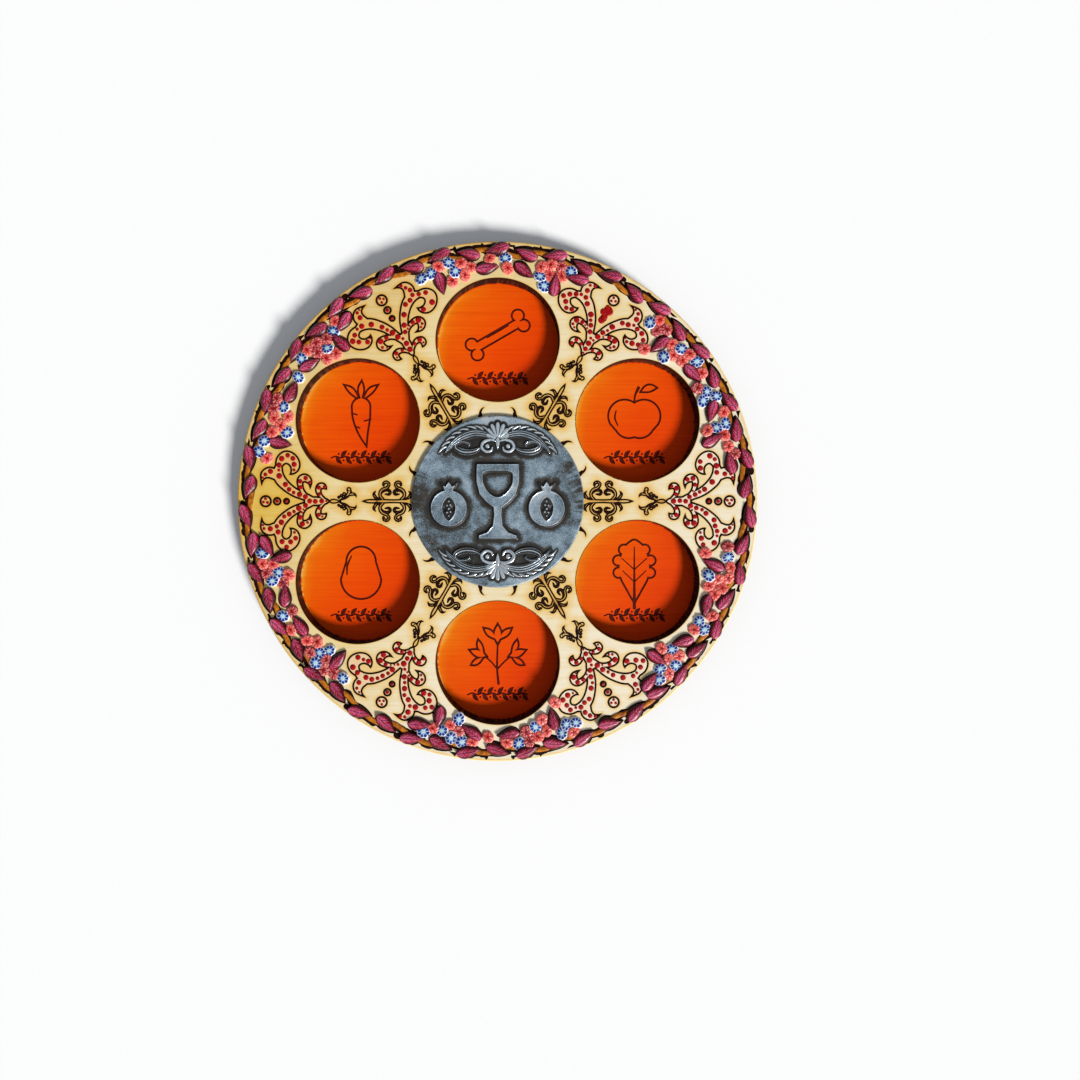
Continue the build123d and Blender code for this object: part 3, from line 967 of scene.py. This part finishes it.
# clay garland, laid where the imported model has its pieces
def islands(node):
    # the separate clay pieces of a node, each as its points
    spots, lookup = np.unique(np.round(nodePoints(node), 3), axis=0, return_inverse=True)
    lookup = lookup.ravel()
    parent = list(range(len(spots)))

    def top(a):
        while parent[a] != a:
            parent[a] = parent[parent[a]]
            a = parent[a]
        return a

    for polygon in frame["nodes"][node].data.polygons:
        first, *rest = [top(lookup[v]) for v in polygon.vertices]
        for other in rest:
            parent[top(other)] = first
    groups = {}
    for k, point in enumerate(spots):
        groups.setdefault(top(k), []).append(point)
    return [np.array(group) for group in groups.values()]


def claySet(kind):
    nodes = [opening["name"].replace("well", kind) for opening in openings]
    return nodes, [piece for node in nodes for piece in islands(node)]


clayShine = {"specular": 0.3, "coat": 0.12, "coatRough": 0.2}
leaf = {
    "side": [(0.0, 0.0), (0.02, 0.26), (0.08, 0.6), (0.18, 0.86), (0.32, 1.0), (0.46, 0.97), (0.62, 0.8),
             (0.78, 0.54), (0.92, 0.22), (1.0, 0.0)],
    "rows": 28, "columns": 13, "edge": 0.36, "bend": 0.06, "veins": 3.4, "slant": 1.1, "late": 0.45,
    "veinDepth": 0.05, "line": 143.6,
    "outer_leaves": {"seed": 21, "sway": 0.65, "longer": 1.0, "wider": 1.06, "burn": 0.7, "burnAhead": 0.9},
    "inner_leaves": {"seed": 22, "sway": 0.88, "longer": 1.12, "wider": 1.2, "burn": 0.2, "burnAhead": 0.0},
    # dark pads under the leaves: partly the real burnt outlines, partly painted shadow, slid towards the
    # upper left
    "burnThick": 0.06, "burnStray": 0.3, "shadowSlide": 0.15, "burnOut": 0.4, "burnLimit": 148.9,
}


def leafForm(number):
    # tip along +X; ridged like fish bones
    rows, columns = leaf["rows"], leaf["columns"]
    along = np.linspace(0, 1, rows) ** 0.9
    half = np.interp(along, *zip(*leaf["side"])) / 2
    bend = random.Random(40 + number).uniform(-leaf["bend"], leaf["bend"])
    t, s = np.meshgrid(along, np.linspace(-1, 1, columns), indexing="ij")
    side = np.abs(s)
    pillow = leaf["edge"] + (1 - leaf["edge"]) * (1 - side ** 2.4) * (1 - np.abs(2 * t - 0.85) ** 3 * 0.35)
    phase = t * leaf["veins"] - side * leaf["slant"] + leaf["late"] * (s < 0)
    vein = np.exp(-((phase - np.round(phase)) / 0.17) ** 2) * (1 - side ** 3)
    rib = np.exp(-(s / 0.16) ** 2)
    pillow -= leaf["veinDepth"] * (0.8 * vein + 1.2 * rib) * ((t > 0.05) & (t < 0.95))
    top = np.dstack([t - 0.5, half[:, None] * s + bend * np.sin(math.pi * t), pillow]).reshape(-1, 3)
    topSpots = np.dstack([t, s, pillow]).reshape(-1, 3)
    index = np.arange(rows * columns).reshape(rows, columns)
    rim = [*index[:, 0], *index[-1, 1:], *index[-2::-1, -1], *index[0, -2:0:-1]]
    foot = [rows * columns + k for k in range(len(rim))]
    faces = strips(rows, columns, False, True)
    faces += [[rim[b], rim[a], foot[a], foot[b]] for a, b in loopEdges(len(rim))]
    faces.append(foot[::-1])
    points = np.vstack([top, top[rim] * (0.99, 0.97, 0)])
    return formMesh("leaf_%d" % number, points, faces, np.vstack([topSpots, topSpots[rim] * (1, 1, 0)]))


def leafPlaces(pieces, settings):
    # sway below 1 draws the leaves closer to the line they follow
    places = []
    for piece in pieces:
        flat = piece[:, :2]
        middle = flat.mean(axis=0)
        tip = flat[np.argmax(reachOf(flat - middle))]
        axis = (tip - middle) / np.hypot(*(tip - middle))
        aside = np.array((-axis[1], axis[0]))
        along, across = (flat - middle) @ axis, (flat - middle) @ aside
        centre = middle + axis * (along.max() + along.min()) / 2 + aside * (across.max() + across.min()) / 2
        reach = np.hypot(*centre)
        centre *= (leaf["line"] + (reach - leaf["line"]) * settings["sway"]) / reach
        places.append((*centre, piece[:, 2].min(), math.atan2(axis[1], axis[0]),
                       np.ptp(along) * settings["longer"], np.ptp(across) * settings["wider"],
                       np.ptp(piece[:, 2])))
    return places


def leafFinish(name):
    # dark at the rim and the tip, pink at the broad end, veined like fish bones; the dark rim is partly the
    # cane's own dark wrap and partly painted shade where the edge curves down
    clay = Finish(name, rough=0.36, **clayShine)
    x, y, z = clay.parts(clay.stored("spot", "Vector"))
    side = abs(y)
    streak = clay.noise((700, 700, 300), 3.0)
    glow = 1.1 - (side * side * 1.25 + x * 0.6) + (streak - 0.5) + (clay.stored("tone") - 0.5) * 0.4
    tone = clay.ramp(glow, (0.05, "44020e"), (0.3, "74051a"), (0.62, "a50f36"), (1.0, "d85680"))
    ribs = x * leaf["veins"] - side * leaf["slant"] + (y < 0.0) * leaf["late"] + streak * 0.3
    ribs = abs(ribs.apply("FRACT") - 0.5)
    pale = (abs(ribs - 0.33) < 0.05) * (side < 0.6)
    tone = clay.blend(pale * 0.45, tone, "e58aa8")
    tone = clay.blend((ribs > 0.42) * 0.8, tone, "4c0a20")
    tone = clay.blend((side < 0.09) * 0.75, tone, "530a22")
    # dark rim: partly the cane's wrap, partly painted shade
    tone = clay.blend((side > 0.78) * 0.75, tone, "33040f")
    # sides darkened towards the board: painted shade
    tone = clay.blend(z < 0.3, tone, "3a0715")
    return clay.done(tone, streak, 0.2, 0.15)


def burnAndShadowPad():
    # flat leaf outline, a little larger than the leaf that lies on it: partly the real burnt outline, partly
    # painted shadow of the leaf
    side = smoothLine([(x, y, 1) for x, y in leaf["side"]], 3)[:, :2] * (1, 0.5) - (0.5, 0)
    loop = np.vstack([side * (1, -1), side[-2:0:-1]])
    count = len(loop)
    points = np.vstack([raised(loop, height) for height in (-0.3, 1.0)])
    faces = strips(2, count) + [list(range(count))[::-1], list(range(count, 2 * count))]
    return formMesh("burnt_pad", points, faces, points)


def burnAndShadowPlaces(places, settings, seed):
    chance = random.Random(seed)
    grow, ahead, stray = 2 * settings["burn"], settings["burnAhead"], leaf["burnStray"]
    made = []
    for x, y, z, turn, along, across, high in places:
        outward = 1 + leaf["burnOut"] / math.hypot(x, y)
        # the fixed slide moves every pad towards the upper left, where the leaves' shadows fall: painted
        # shadow
        x = x * outward + ahead * math.cos(turn) + chance.uniform(-stray, stray) - leaf["shadowSlide"]
        y = y * outward + ahead * math.sin(turn) + chance.uniform(-stray, stray) + leaf["shadowSlide"]
        made.append((x, y, boardTop, turn, along + grow, across + grow, leaf["burnThick"]))
    return made


leafForms = [leafForm(k) for k in range(3)]
burnAndShadowLeaves = []
for kind in ("outer_leaves", "inner_leaves"):
    nodes, pieces = claySet(kind)
    places = leafPlaces(pieces, leaf[kind])
    burnAndShadowLeaves += burnAndShadowPlaces(places, leaf[kind], len(kind))
    mesh = scatter(kind + "_clay", places, leafForms, leafFinish(kind + "_clay"), 0.05, 0.05,
                   leaf[kind]["seed"])
    addPiece(kind + "_clay", mesh, nodes)

burnAndShadowMesh = scatter("burnt_leaf_edge", burnAndShadowLeaves, [burnAndShadowPad()], burntLine, 0.0, 0.0, 9)
for vertex in burnAndShadowMesh.vertices:
    vertex.co.xy *= min(1, leaf["burnLimit"] * mm / max(vertex.co.xy.length, mm))
addPiece("burnt_leaf_edge", burnAndShadowMesh)

flower = {
    # reach and height
    "rings": [(0.22, 0.93), (0.45, 1.0), (0.72, 0.96), (0.9, 0.8), (0.99, 0.5), (0.96, 0.0)],
    "wider": 1.48, "scallop": 0.035, "oval": 0.07, "dip": 0.1, "steps": 5,
    "coral_flowers": {
        "seed": 31, "petals": 6, "slot": "clay_coral", "finish": "coral_clay", "marks": 9,
        "stops": [(0.0, "9c0d16"), (0.22, "bf1c22"), (0.5, "d9392f"), (0.82, "e2493e"), (1.0, "f0948a")],
        "darker": [(0.0, "7c0912"), (0.4, "a01422"), (0.85, "b92334"), (1.0, "86101c")],
        "gap": "f8b9aa", "gapFrom": 0.5, "gapTo": 0.86, "gapWide": -0.8, "gapShare": 0.6, "flakes": 0.5,
        "eye": "7d0a12",
    },
    "blue_flowers": {
        "seed": 32, "petals": 8, "slot": "clay_blue", "finish": "blue_clay", "marks": 8,
        "stops": [(0.0, "d3e4da"), (0.16, "e2edf5"), (0.28, "9cc4e6"), (0.4, "6ba2d8"), (0.43, "0a3590"),
                  (0.6, "042a78"), (0.82, "083088"), (0.87, "e6edf8"), (1.0, "f6f8fa")],
        "gap": "dbe7f6", "gapFrom": 0.2, "gapTo": 0.98, "gapWide": -0.9, "gapShare": 0.85,
        "eye": "b9d8c6",
    },
}


def flowerForm(name, petals, number):
    start = random.Random(70 + number).uniform(0, 6)
    rings = flower["rings"]
    count = petals * flower["steps"]
    angles = np.arange(count) * fullTurn / count
    swell = 1 + flower["scallop"] * np.cos(petals * angles) + flower["oval"] * np.cos(2 * angles + start)
    points, spots = [(0, 0, 1.0)], [(0, 0, 0)]
    for share, height in rings:
        dip = flower["dip"] * (np.cos(petals * angles) < -0.5) * (0.3 < share < 0.95)
        for angle, reach, low in zip(angles, share * swell / 2, height - dip):
            points.append((reach * math.cos(angle), reach * math.sin(angle), low))
            spots.append((share * math.cos(angle), share * math.sin(angle), height))
    faces = [[0, 1 + a, 1 + b] for a, b in loopEdges(count)] + strips(len(rings), count, True, True, 1)
    faces.append(list(range(len(points) - count, len(points)))[::-1])
    return formMesh("%s_%d" % (name, number), points, faces, spots)


def flowerPlaces(pieces, seed):
    chance = random.Random(seed)
    places = []
    for piece in pieces:
        low, high = piece.min(axis=0), piece.max(axis=0)
        x, y = (low + high)[:2] / 2
        wide = (high - low)[:2].mean() * flower["wider"]
        tall = (high - low)[2] * chance.uniform(0.85, 1.15)
        places.append((x, y, low[2], chance.uniform(0, 6.28), wide * chance.uniform(0.96, 1.04),
                       wide * chance.uniform(0.9, 1.0), tall))
    return places


def flowerFinish(look):
    # petals by angle and distance from the middle of the slice
    clay = Finish(look["finish"], rough=0.38, **clayShine)
    x, y, z = clay.parts(clay.stored("spot", "Vector"))
    blur = clay.noise((900, 900, 300), 2.0)
    reach = (x * x + y * y).apply("SQRT") + (blur - 0.5) * 0.22
    wave = (y.apply("ARCTAN2", x) * look["marks"]).apply("COSINE")
    tone = clay.ramp(reach, *look["stops"])
    if "darker" in look:
        tone = clay.blend(clay.stored("tone") > 0.7, tone, clay.ramp(reach, *look["darker"]))
    between = (wave < look["gapWide"]) * (reach > look["gapFrom"]) * (reach < look["gapTo"])
    tone = clay.blend(between * look["gapShare"], tone, look["gap"])
    if "flakes" in look:
        flake = (clay.noise((1300, 1300, 500), 2.0) > 0.56) * (reach > 0.28)
        tone = clay.blend(flake * look["flakes"], tone, look["gap"])
    tone = clay.blend(reach < 0.17, tone, look["eye"])
    return clay.done(tone, blur, 0.2, 0.15)


for kind in ("coral_flowers", "blue_flowers"):
    look = flower[kind]
    nodes, pieces = claySet(kind)
    forms = [flowerForm(kind, look["petals"], k) for k in range(3)]
    places = flowerPlaces(pieces, look["seed"])
    mesh = scatter(kind + "_clay", places, forms, flowerFinish(look), 0.05, 0.12, look["seed"])
    addPiece(kind + "_clay", mesh, nodes)


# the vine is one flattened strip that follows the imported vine's pieces round the rim
vine = {"wide": 2.8, "sides": 10, "sink": 0.12, "burnSeed": 17, "burnThick": 0.05, "burnWidest": 2.7,
        "burnLimit": 148.2}


def vinePath(pieces):
    ends = []
    for piece in pieces:
        middle = piece[:, :2].mean(axis=0)
        turn = math.atan2(middle[1], middle[0])
        along = (piece[:, :2] - middle) @ np.array((-math.sin(turn), math.cos(turn)))
        for cut in (along < along.min() + 0.8, along > along.max() - 0.8):
            ends.append(piece[cut][:, :2].mean(axis=0))
    ends.sort(key=lambda p: math.atan2(p[1], p[0]))
    loop = np.array(ends[-2:] + ends + ends[:2])
    return smoothLine(raised(loop, 1), 5)[10:-11, :2]


def vineTree():
    tree, names, given = startTree("vine_strip", {
        "Path": "Geometry", "Width": "Float", "Height": "Float", "Sides": "Int", "Finish": "Material"},
        "Strip")
    path = nodeOut(tree, "GeometryNodeSetCurveNormal", {"Curve": given["Path"]}, mode="Z_UP")
    loop = nodeOut(tree, "GeometryNodeCurvePrimitiveCircle", {"Resolution": given["Sides"], "Radius": 0.5})
    flat = nodeOut(tree, "ShaderNodeCombineXYZ", {"X": given["Width"], "Y": given["Height"], "Z": 1.0})
    loop = nodeOut(tree, "GeometryNodeTransform", {"Geometry": loop, "Scale": flat})
    strip = nodeOut(tree, "GeometryNodeCurveToMesh", {"Curve": path, "Profile Curve": loop})
    strip = nodeOut(tree, "GeometryNodeSetShadeSmooth", {"Geometry": strip})
    endTree(tree, strip, given["Finish"])
    return tree, names


def burnAndShadowEdge(path):
    # uneven burnt line that shows along both sides of the vine, widened as painted shadow on the side
    # towards the upper left
    chance = random.Random(vine["burnSeed"])
    waves = [(k, chance.uniform(0.15, 0.42), chance.uniform(0, 6.28)) for k in (17, 41, 73, 111, 190)]
    heading = np.roll(path, -1, axis=0) - np.roll(path, 1, axis=0)
    heading /= reachOf(heading)[:, None]
    out = np.column_stack([heading[:, 1], -heading[:, 0]])
    turn = np.arctan2(path[:, 1], path[:, 0])
    wave = sum(size * np.sin(k * turn + start) for k, size, start in waves)
    pile = Pile()
    low, high = boardTop - 0.02, boardTop + vine["burnThick"]
    # the cosine terms widen each side where it faces the upper left, where the vine's shadow falls: painted
    # shadow over the real burnt line
    for side, swell in ((1, 2.1 + 0.4 * np.cos(turn - 2.2)), (-1, 0.75 + 0.3 * np.cos(turn + 0.9))):
        wide = np.clip(swell + wave * side, 0.02, vine["burnWidest"])
        near, far = path + out * side * 0.9, path + out * side * (0.95 + wide)[:, None]
        far *= np.minimum(1, vine["burnLimit"] / reachOf(far))[:, None]
        loops = [(near, low), (far, low), (far, high), (near, high), (near, low)]
        band(pile, [raised(*loop) for loop in loops], 0, side < 0)
    return pile.build("burnt_vine_edge", [burntLine])


def buildVine():
    nodes, pieces = claySet("vine")
    high = max(piece[:, 2].max() for piece in pieces) - boardTop
    path = vinePath(pieces)
    curve = bpy.data.curves.new("vine_path", "CURVE")
    curve.dimensions = "3D"
    spline = curve.splines.new("POLY")
    spline.points.add(len(path) - 1)
    spline.use_cyclic_u = True
    for point, (x, y) in zip(spline.points, path):
        point.co = (x * mm, y * mm, (boardTop + high / 2 - vine["sink"]) * mm, 1)
    clay = paintFinish("vine_clay", "8c450a", "d4821f", 0.42, 420)
    mesh = runTree("vine_clay", curve, *vineTree(), {
        "Width": vine["wide"] * mm, "Height": high * mm, "Sides": vine["sides"], "Finish": clay})
    addPiece("vine_clay", mesh, nodes)
    addPiece("burnt_vine_edge", burnAndShadowEdge(path))


buildVine()


# medallion: cast disc with a goblet between two pomegranates and leafy crests
medal = {
    "cell": 0.42, "steps": 240, "soft": 0.9,
    "gobletSide": [(0, -21.5), (11, -21.5), (11, -19.4), (6, -17.6), (3, -14), (2.2, -8), (2.6, -3.4),
                   (6.5, -0.6), (10.6, 4.2), (12.3, 11), (12.4, 17), (12.1, 21.5), (0, 21.5)],
    "bowl": [(0, 2.6), (4.2, 4.4), (7.6, 9), (8.4, 13), (7.4, 16.6), (0, 17.4)],
    "fruit": (28.0, -4.0, 10.5),
    "crown": [(-1.6, 8.6), (-4.6, 14.6), (-1.9, 12.6), (0, 15.6), (1.9, 12.6), (4.6, 14.6), (1.6, 8.6)],
    "slit": [(0, -6.8), (2.5, -4), (3.5, 0), (2.6, 3.6), (0, 6.2)],
    "seeds": [(0, 4.0, 0.75), (-0.9, 1.9, 0.8), (1.0, 1.6, 0.8), (0, -0.3, 0.85), (-1.0, -2.1, 0.8),
              (1.0, -2.4, 0.8), (0, -4.3, 0.75)],
    # gaps from the edge of the motif, with the rise and the stain there
    "gaps": [-1.8, -0.9, -0.45, 0.0, 0.9, 2.2, 4.0],
    "rises": [0.72, 0.82, 1.02, 0.35, -0.25, -0.16, 0.0],
    "stains": [0.24, 0.28, -0.05, 0.9, 0.92, 0.64, 0.33],
    "ringTones": [0.36, 0.02, -0.39, 0.0, 0.29, -0.07, -0.05, -0.06],  # lighter and darker sectors near the rim, from the right, round to the left
    "crestLevels": (0.2, 1.3, 2.6, 4.0),
}
crest = {
    "height": 1.15, "sunk": 0.06, "columns": 19,
    "arm": [(1.8, 35.3, 1.5), (7, 38.2, 2.7), (14, 38.9, 3.2), (21.5, 36.2, 3.0), (27, 31.6, 1.9),
            (30.3, 27.2, 0.2)],
    "fingers": {"count": 9, "first": 0.06, "last": 0.84, "reach": 4.3},
    "fingerLine": [(0.0, 0.0, 0.4), (0.3, 0.4, 0.85), (0.46, 0.95, 0.6375), (0.44, 1.5, 0.15)],
    "scroll": [(9.0, 31.0, 0.6), (13.4, 28.6, 1.9), (19.4, 28.2, 2.4), (24.0, 30.4, 2.0), (23.4, 33.2, 1.4),
               (19.6, 34.0, 1.2), (16.2, 32.8, 1.1), (16.4, 31.2, 0.5)],
    "volute": [(1.0, 34.4, 0.6), (4.2, 35.2, 1.1), (7.9, 34.0, 1.3), (9.2, 31.0, 1.3), (6.8, 28.5, 1.2),
               (3.8, 29.0, 1.0), (2.9, 31.2, 0.6)],
    "boss": [(4.9, 31.6, 1.2), (5.9, 31.6, 2.0), (6.9, 31.6, 1.2)],
    "drop": [(0, 29.8, 0.3), (0, 32.0, 1.3), (0, 35.0, 1.7), (0, 36.8, 0.6)],
    "fan": {"hub": 35.4, "reach": 10.0, "petals": 7, "spread": 66.0, "width": 1.7},
    # share of reach, share of width
    "petal": [(0.05, 0.2), (0.4, 0.6), (0.75, 1.0), (0.92, 0.8), (1.0, 0.2)],
    "flutes": {"arm": 5, "scroll": 3},
    "lower": {"fan": 0.8, "finger": 0.65, "volute": 0.9, "arm": 0.9},
}


def mirrorLoop(side):
    side = np.array(side, float)
    return np.vstack([side, (side * (-1, 1))[::-1][1:-1]])


def outlineGap(outline, x, y):
    gap = np.full(x.shape, 1e6)
    inside = np.zeros(x.shape, bool)
    for a, b in zip(outline, np.roll(outline, -1, axis=0)):
        np.minimum(gap, toSegment(x, y, a, b)[0], out=gap)
        level = (b[0] - a[0]) * (y - a[1]) / (b[1] - a[1] + 1e-12) + a[0]
        inside ^= ((a[1] > y) != (b[1] > y)) & (x < level)
    return np.where(inside, -gap, gap)


def roundedGap(side, x, y):
    # smooth closed loop through the points of one side and its mirror image
    points = mirrorLoop(side)
    ringed = np.vstack([points[-2:], points, points[:2]])
    return outlineGap(smoothLine(raised(ringed, 1), 5)[10:-6, :2], x, y)


def motifGap(x, y):
    goblet = outlineGap(mirrorLoop(medal["gobletSide"]), x, y)
    goblet = np.maximum(goblet, -roundedGap(medal["bowl"], x, y))
    across, drop, radius = medal["fruit"]
    u, v = np.abs(x) - across, y - drop
    fruit = np.minimum(np.hypot(u, v) - radius, outlineGap(np.array(medal["crown"]), u, v))
    fruit = np.maximum(fruit, -roundedGap(medal["slit"], u, v))
    fruit = np.minimum(fruit, strokeGap([spot(*seed) for seed in medal["seeds"]], u, v))
    return np.minimum(goblet, fruit)


def medalFinish():
    metal = Finish("antique_metal", specular=0.6)
    pits = metal.noise((1500, 1500, 1500), 3.0)
    cloud = metal.noise((-38, 38, 38), 2.5)
    worn = metal.noise((230, 230, 230), 3.0, 0.65)
    patina = metal.stored("patina") + (pits - 0.5) * 0.9 + (cloud - 0.5) * 1.1 + (worn - 0.5) * 0.7
    tone = metal.ramp(patina, (0.0, "eef3f6"), (0.15, "b3c7d6"), (0.36, "798d9b"), (0.6, "3b362e"),
                      (1.0, "0e0a06"))
    metal.link(patina * 0.3 + 0.24, "Roughness")
    metal.link((patina * -0.8).apply("ADD", 0.6, True), "Metallic")
    return metal.done(tone, pits, 0.2, 0.12)


medalMetal = medalFinish()


def crestStrokes():
    halves = [(key, smoothLine(crest[key])) for key in ("arm", "scroll", "volute", "boss")]
    arm = halves[0][1]
    finger, fan = crest["fingers"], crest["fan"]
    for share in np.linspace(finger["first"], finger["last"], finger["count"]):
        k = int(share * (len(arm) - 1))
        along = arm[k + 1, :2] - arm[k, :2]
        along /= np.hypot(*along)
        out = np.array((-along[1], along[0]))
        root = arm[k, :2] + out * arm[k, 2] * 0.55
        tips = [(*(root + (out * up + along * on) * finger["reach"]), half)
                for up, on, half in crest["fingerLine"]]
        halves.append(("finger", smoothLine(tips, 4)))
    strokes = []
    for key, line in halves:
        strokes += [(key, line), (key, (line * (-1, 1, 1))[::-1])]
    strokes.append(("drop", smoothLine(crest["drop"], 5)))
    for share in np.linspace(0, 1, fan["petals"]):
        turn = math.radians(90 + fan["spread"] * (share - 0.5) * 2)
        reach = fan["reach"] * (0.72 + 0.28 * math.sin(math.pi * share))
        line = [(reach * on * math.cos(turn), fan["hub"] + reach * on * math.sin(turn), fan["width"] * wide)
                for on, wide in crest["petal"]]
        strokes.append(("fan", smoothLine(line, 4)))
    return strokes + [(key, (line * (1, -1, 1))[::-1]) for key, line in strokes]


crestLines = crestStrokes()


def crestGap(x, y):
    return strokeGap([line for key, line in crestLines if key != "boss"], x, y)


def buildMedal():
    points = nodePoints("medallion")
    reach = reachOf(points)
    radius, base = reach.max(), points[:, 2].min()
    face = points[reach > radius - 1.5][:, 2].max()
    limit = radius - medal["soft"] - 0.2
    x, y = grid(-radius - 1, radius + 1, -radius - 1, radius + 1, medal["cell"])
    points = list(circle(radius - medal["soft"], medal["steps"]))
    edges = loopEdges(medal["steps"])
    field = motifGap(x, y)
    for level in medal["gaps"]:
        found, joined = contour(field, x, y, level + 1e-3)
        within = [math.hypot(*p) < limit for p in found]
        joined = [(a, b) for a, b in joined if within[a] and within[b]]
        addContour(points, edges, [p if near else (0.0, 0.0) for p, near in zip(found, within)], joined)
    field = crestGap(x, y)
    for level in medal["crestLevels"]:
        points += [p for p in contour(field, x, y, level)[0][::2] if math.hypot(*p) < limit]
    flat, faces = triangles(points, edges)
    reach, turn = reachOf(flat), np.arctan2(flat[:, 1], flat[:, 0])
    gaps = motifGap(*flat.T)
    rises, stains = [np.interp(gaps, medal["gaps"], medal[key]) for key in ("rises", "stains")]
    eighths = np.arange(len(medal["ringTones"])) * math.pi / 4
    stains += np.interp(turn, eighths, medal["ringTones"], period=fullTurn) * (reach / radius) ** 3
    fade = np.interp(reach, (37, 44), (3.0, 0.9))
    stains = np.maximum(stains, np.clip(1.15 - np.maximum(crestGap(*flat.T), 0) / fade, 0, 1.1))
    pile = Pile()
    pile.add(np.column_stack([flat, face + rises]), faces, 0, stains)
    # radius, height and stain
    rims = [(radius - 0.1, base, 0.9), (radius, base + 0.3, 0.8), (radius, face - 0.9, 0.5),
            (radius - 0.35, face - 0.35, 0.2), (radius - medal["soft"], face, 0.3)]
    loops = [ring(wide, height, medal["steps"]) for wide, height, stained in rims]
    band(pile, loops, 0, values=np.repeat([rim[2] for rim in rims], medal["steps"]))
    closeBelow(pile, loops[0], 0, 0.6)
    mesh = pile.build("medallion_metal", [medalMetal], "patina")
    mesh.shade_smooth()
    mesh.set_sharp_from_angle(angle=math.radians(28))
    return mesh, face


def buildCrests(face):
    # fluted strips, arched across and closed below
    pile = Pile()
    columns = crest["columns"]
    across = np.linspace(-1, 1, columns)
    for key, line in crestLines:
        flutes = crest["flutes"].get(key, 1)
        rise = crest["height"] * crest["lower"].get(key, 1.0)
        heading = np.gradient(line[:, :2], axis=0)
        heading /= reachOf(heading)[:, None] + 1e-9
        lift = np.sqrt(1 - across ** 2)
        if flutes > 1:
            lift = lift * (0.725 + 0.275 * np.cos(math.pi * flutes * (across + 1) + math.pi * (flutes % 2)))
        half = line[:, 2:]
        x = line[:, :1] - heading[:, 1:] * half * across
        y = line[:, 1:2] + heading[:, :1] * half * across
        z = face - crest["sunk"] + rise * np.minimum(1, half / 0.9) * lift
        stains = np.tile(np.clip(1.5 - 1.75 * lift ** 1.6, -0.25, 1.1), len(line))
        last = (len(line) - 1) * columns
        faces = strips(len(line), columns, True, True)
        faces += [list(range(columns)), list(range(last, last + columns))[::-1]]
        pile.add(np.dstack([x, y, z]).reshape(-1, 3), faces, 0, stains)
    mesh = pile.build("medallion_crests", [medalMetal], "patina")
    mesh.shade_smooth()
    return mesh


medalMesh, medalFace = buildMedal()
addPiece("medallion_metal", medalMesh, ["medallion"])
addPiece("medallion_crests", buildCrests(medalFace), [])


# camera straight above, lens shift as the photograph is framed
view = {"height": 392.0, "frameWidth": 622.0, "distance": 380.0, "sensor": 36.0, "shift": (0.0392, -0.0359)}
studio = {"keyTurn": -51.0, "keyRise": 33.5, "keyStrength": 4.18, "keySpread": 14.0,
          "keyColour": (1.0, 0.985, 0.96), "fill": 0.26, "fillColour": (0.86, 0.92, 1.0, 1),
          "floorSize": 4.0, "floorLift": 0.04}
white = (1, 1, 1, 1)


def place(name, data):
    made = bpy.data.objects.new(name, data)
    scene.collection.objects.link(made)
    return made


def buildCamera():
    lens = bpy.data.cameras.new("camera")
    lens.sensor_width = view["sensor"]
    lens.lens = view["sensor"] * view["distance"] / view["frameWidth"]
    lens.shift_x, lens.shift_y = view["shift"]
    scene.camera = place("camera", lens)
    scene.camera.location = (0, 0, view["height"] * mm)


def buildLight():
    key = bpy.data.lights.new("key", "SUN")
    key.energy = studio["keyStrength"]
    key.angle = math.radians(studio["keySpread"])
    key.color = studio["keyColour"]
    turn, rise = math.radians(studio["keyTurn"]), math.radians(studio["keyRise"])
    towards = Vector((math.cos(turn) * math.cos(rise), math.sin(turn) * math.cos(rise), math.sin(rise)))
    place("key", key).rotation_euler = towards.to_track_quat("Z", "Y").to_euler()

    world = bpy.data.worlds.new("studio")
    world.use_nodes = True
    scene.world = world
    tree = world.node_tree
    soft = tree.nodes["Background"]
    soft.inputs["Color"].default_value = studio["fillColour"]
    soft.inputs["Strength"].default_value = studio["fill"]
    bright = nodeOut(tree, "ShaderNodeBackground", {"Color": white, "Strength": 1.0})
    rays = addNode(tree, "ShaderNodeLightPath").outputs
    seen = {0: rays["Is Camera Ray"], 1: rays["Is Transmission Ray"]}
    seen = nodeOut(tree, "ShaderNodeMath", seen, operation="MAXIMUM")
    mix = nodeOut(tree, "ShaderNodeMixShader", {0: seen, 1: soft.outputs[0], 2: bright})
    tree.links.new(mix, tree.nodes["World Output"].inputs["Surface"])


def buildFloor():
    half = studio["floorSize"] / 2
    mesh = bpy.data.meshes.new("floor")
    mesh.from_pydata([(-half, -half, 0), (half, -half, 0), (half, half, 0), (-half, half, 0)], [],
                     [(0, 1, 2, 3)])
    paper = Finish("white_paper", rough=0.9, specular=0.0)
    paper.link(paper.ramp(paper.noise((900, 900, 900), 2.0), (0.3, "fafafa"), (0.7, "fefefe")), "Base Color")
    lift = nodeOut(paper.tree, "ShaderNodeEmission", {"Color": white, "Strength": studio["floorLift"]})
    seen = nodeOut(paper.tree, "ShaderNodeLightPath", output="Is Camera Ray")
    lift = nodeOut(paper.tree, "ShaderNodeMixShader", {0: seen, 2: lift})
    both = nodeOut(paper.tree, "ShaderNodeAddShader", {0: paper.bsdf.outputs[0], 1: lift})
    paper.tree.links.new(both, paper.tree.nodes["Material Output"].inputs["Surface"])
    mesh.materials.append(paper.material)
    floor = place("floor", mesh)


buildCamera()
buildLight()
buildFloor()
scene.view_settings.view_transform = "Standard"
print("camera and studio ready")
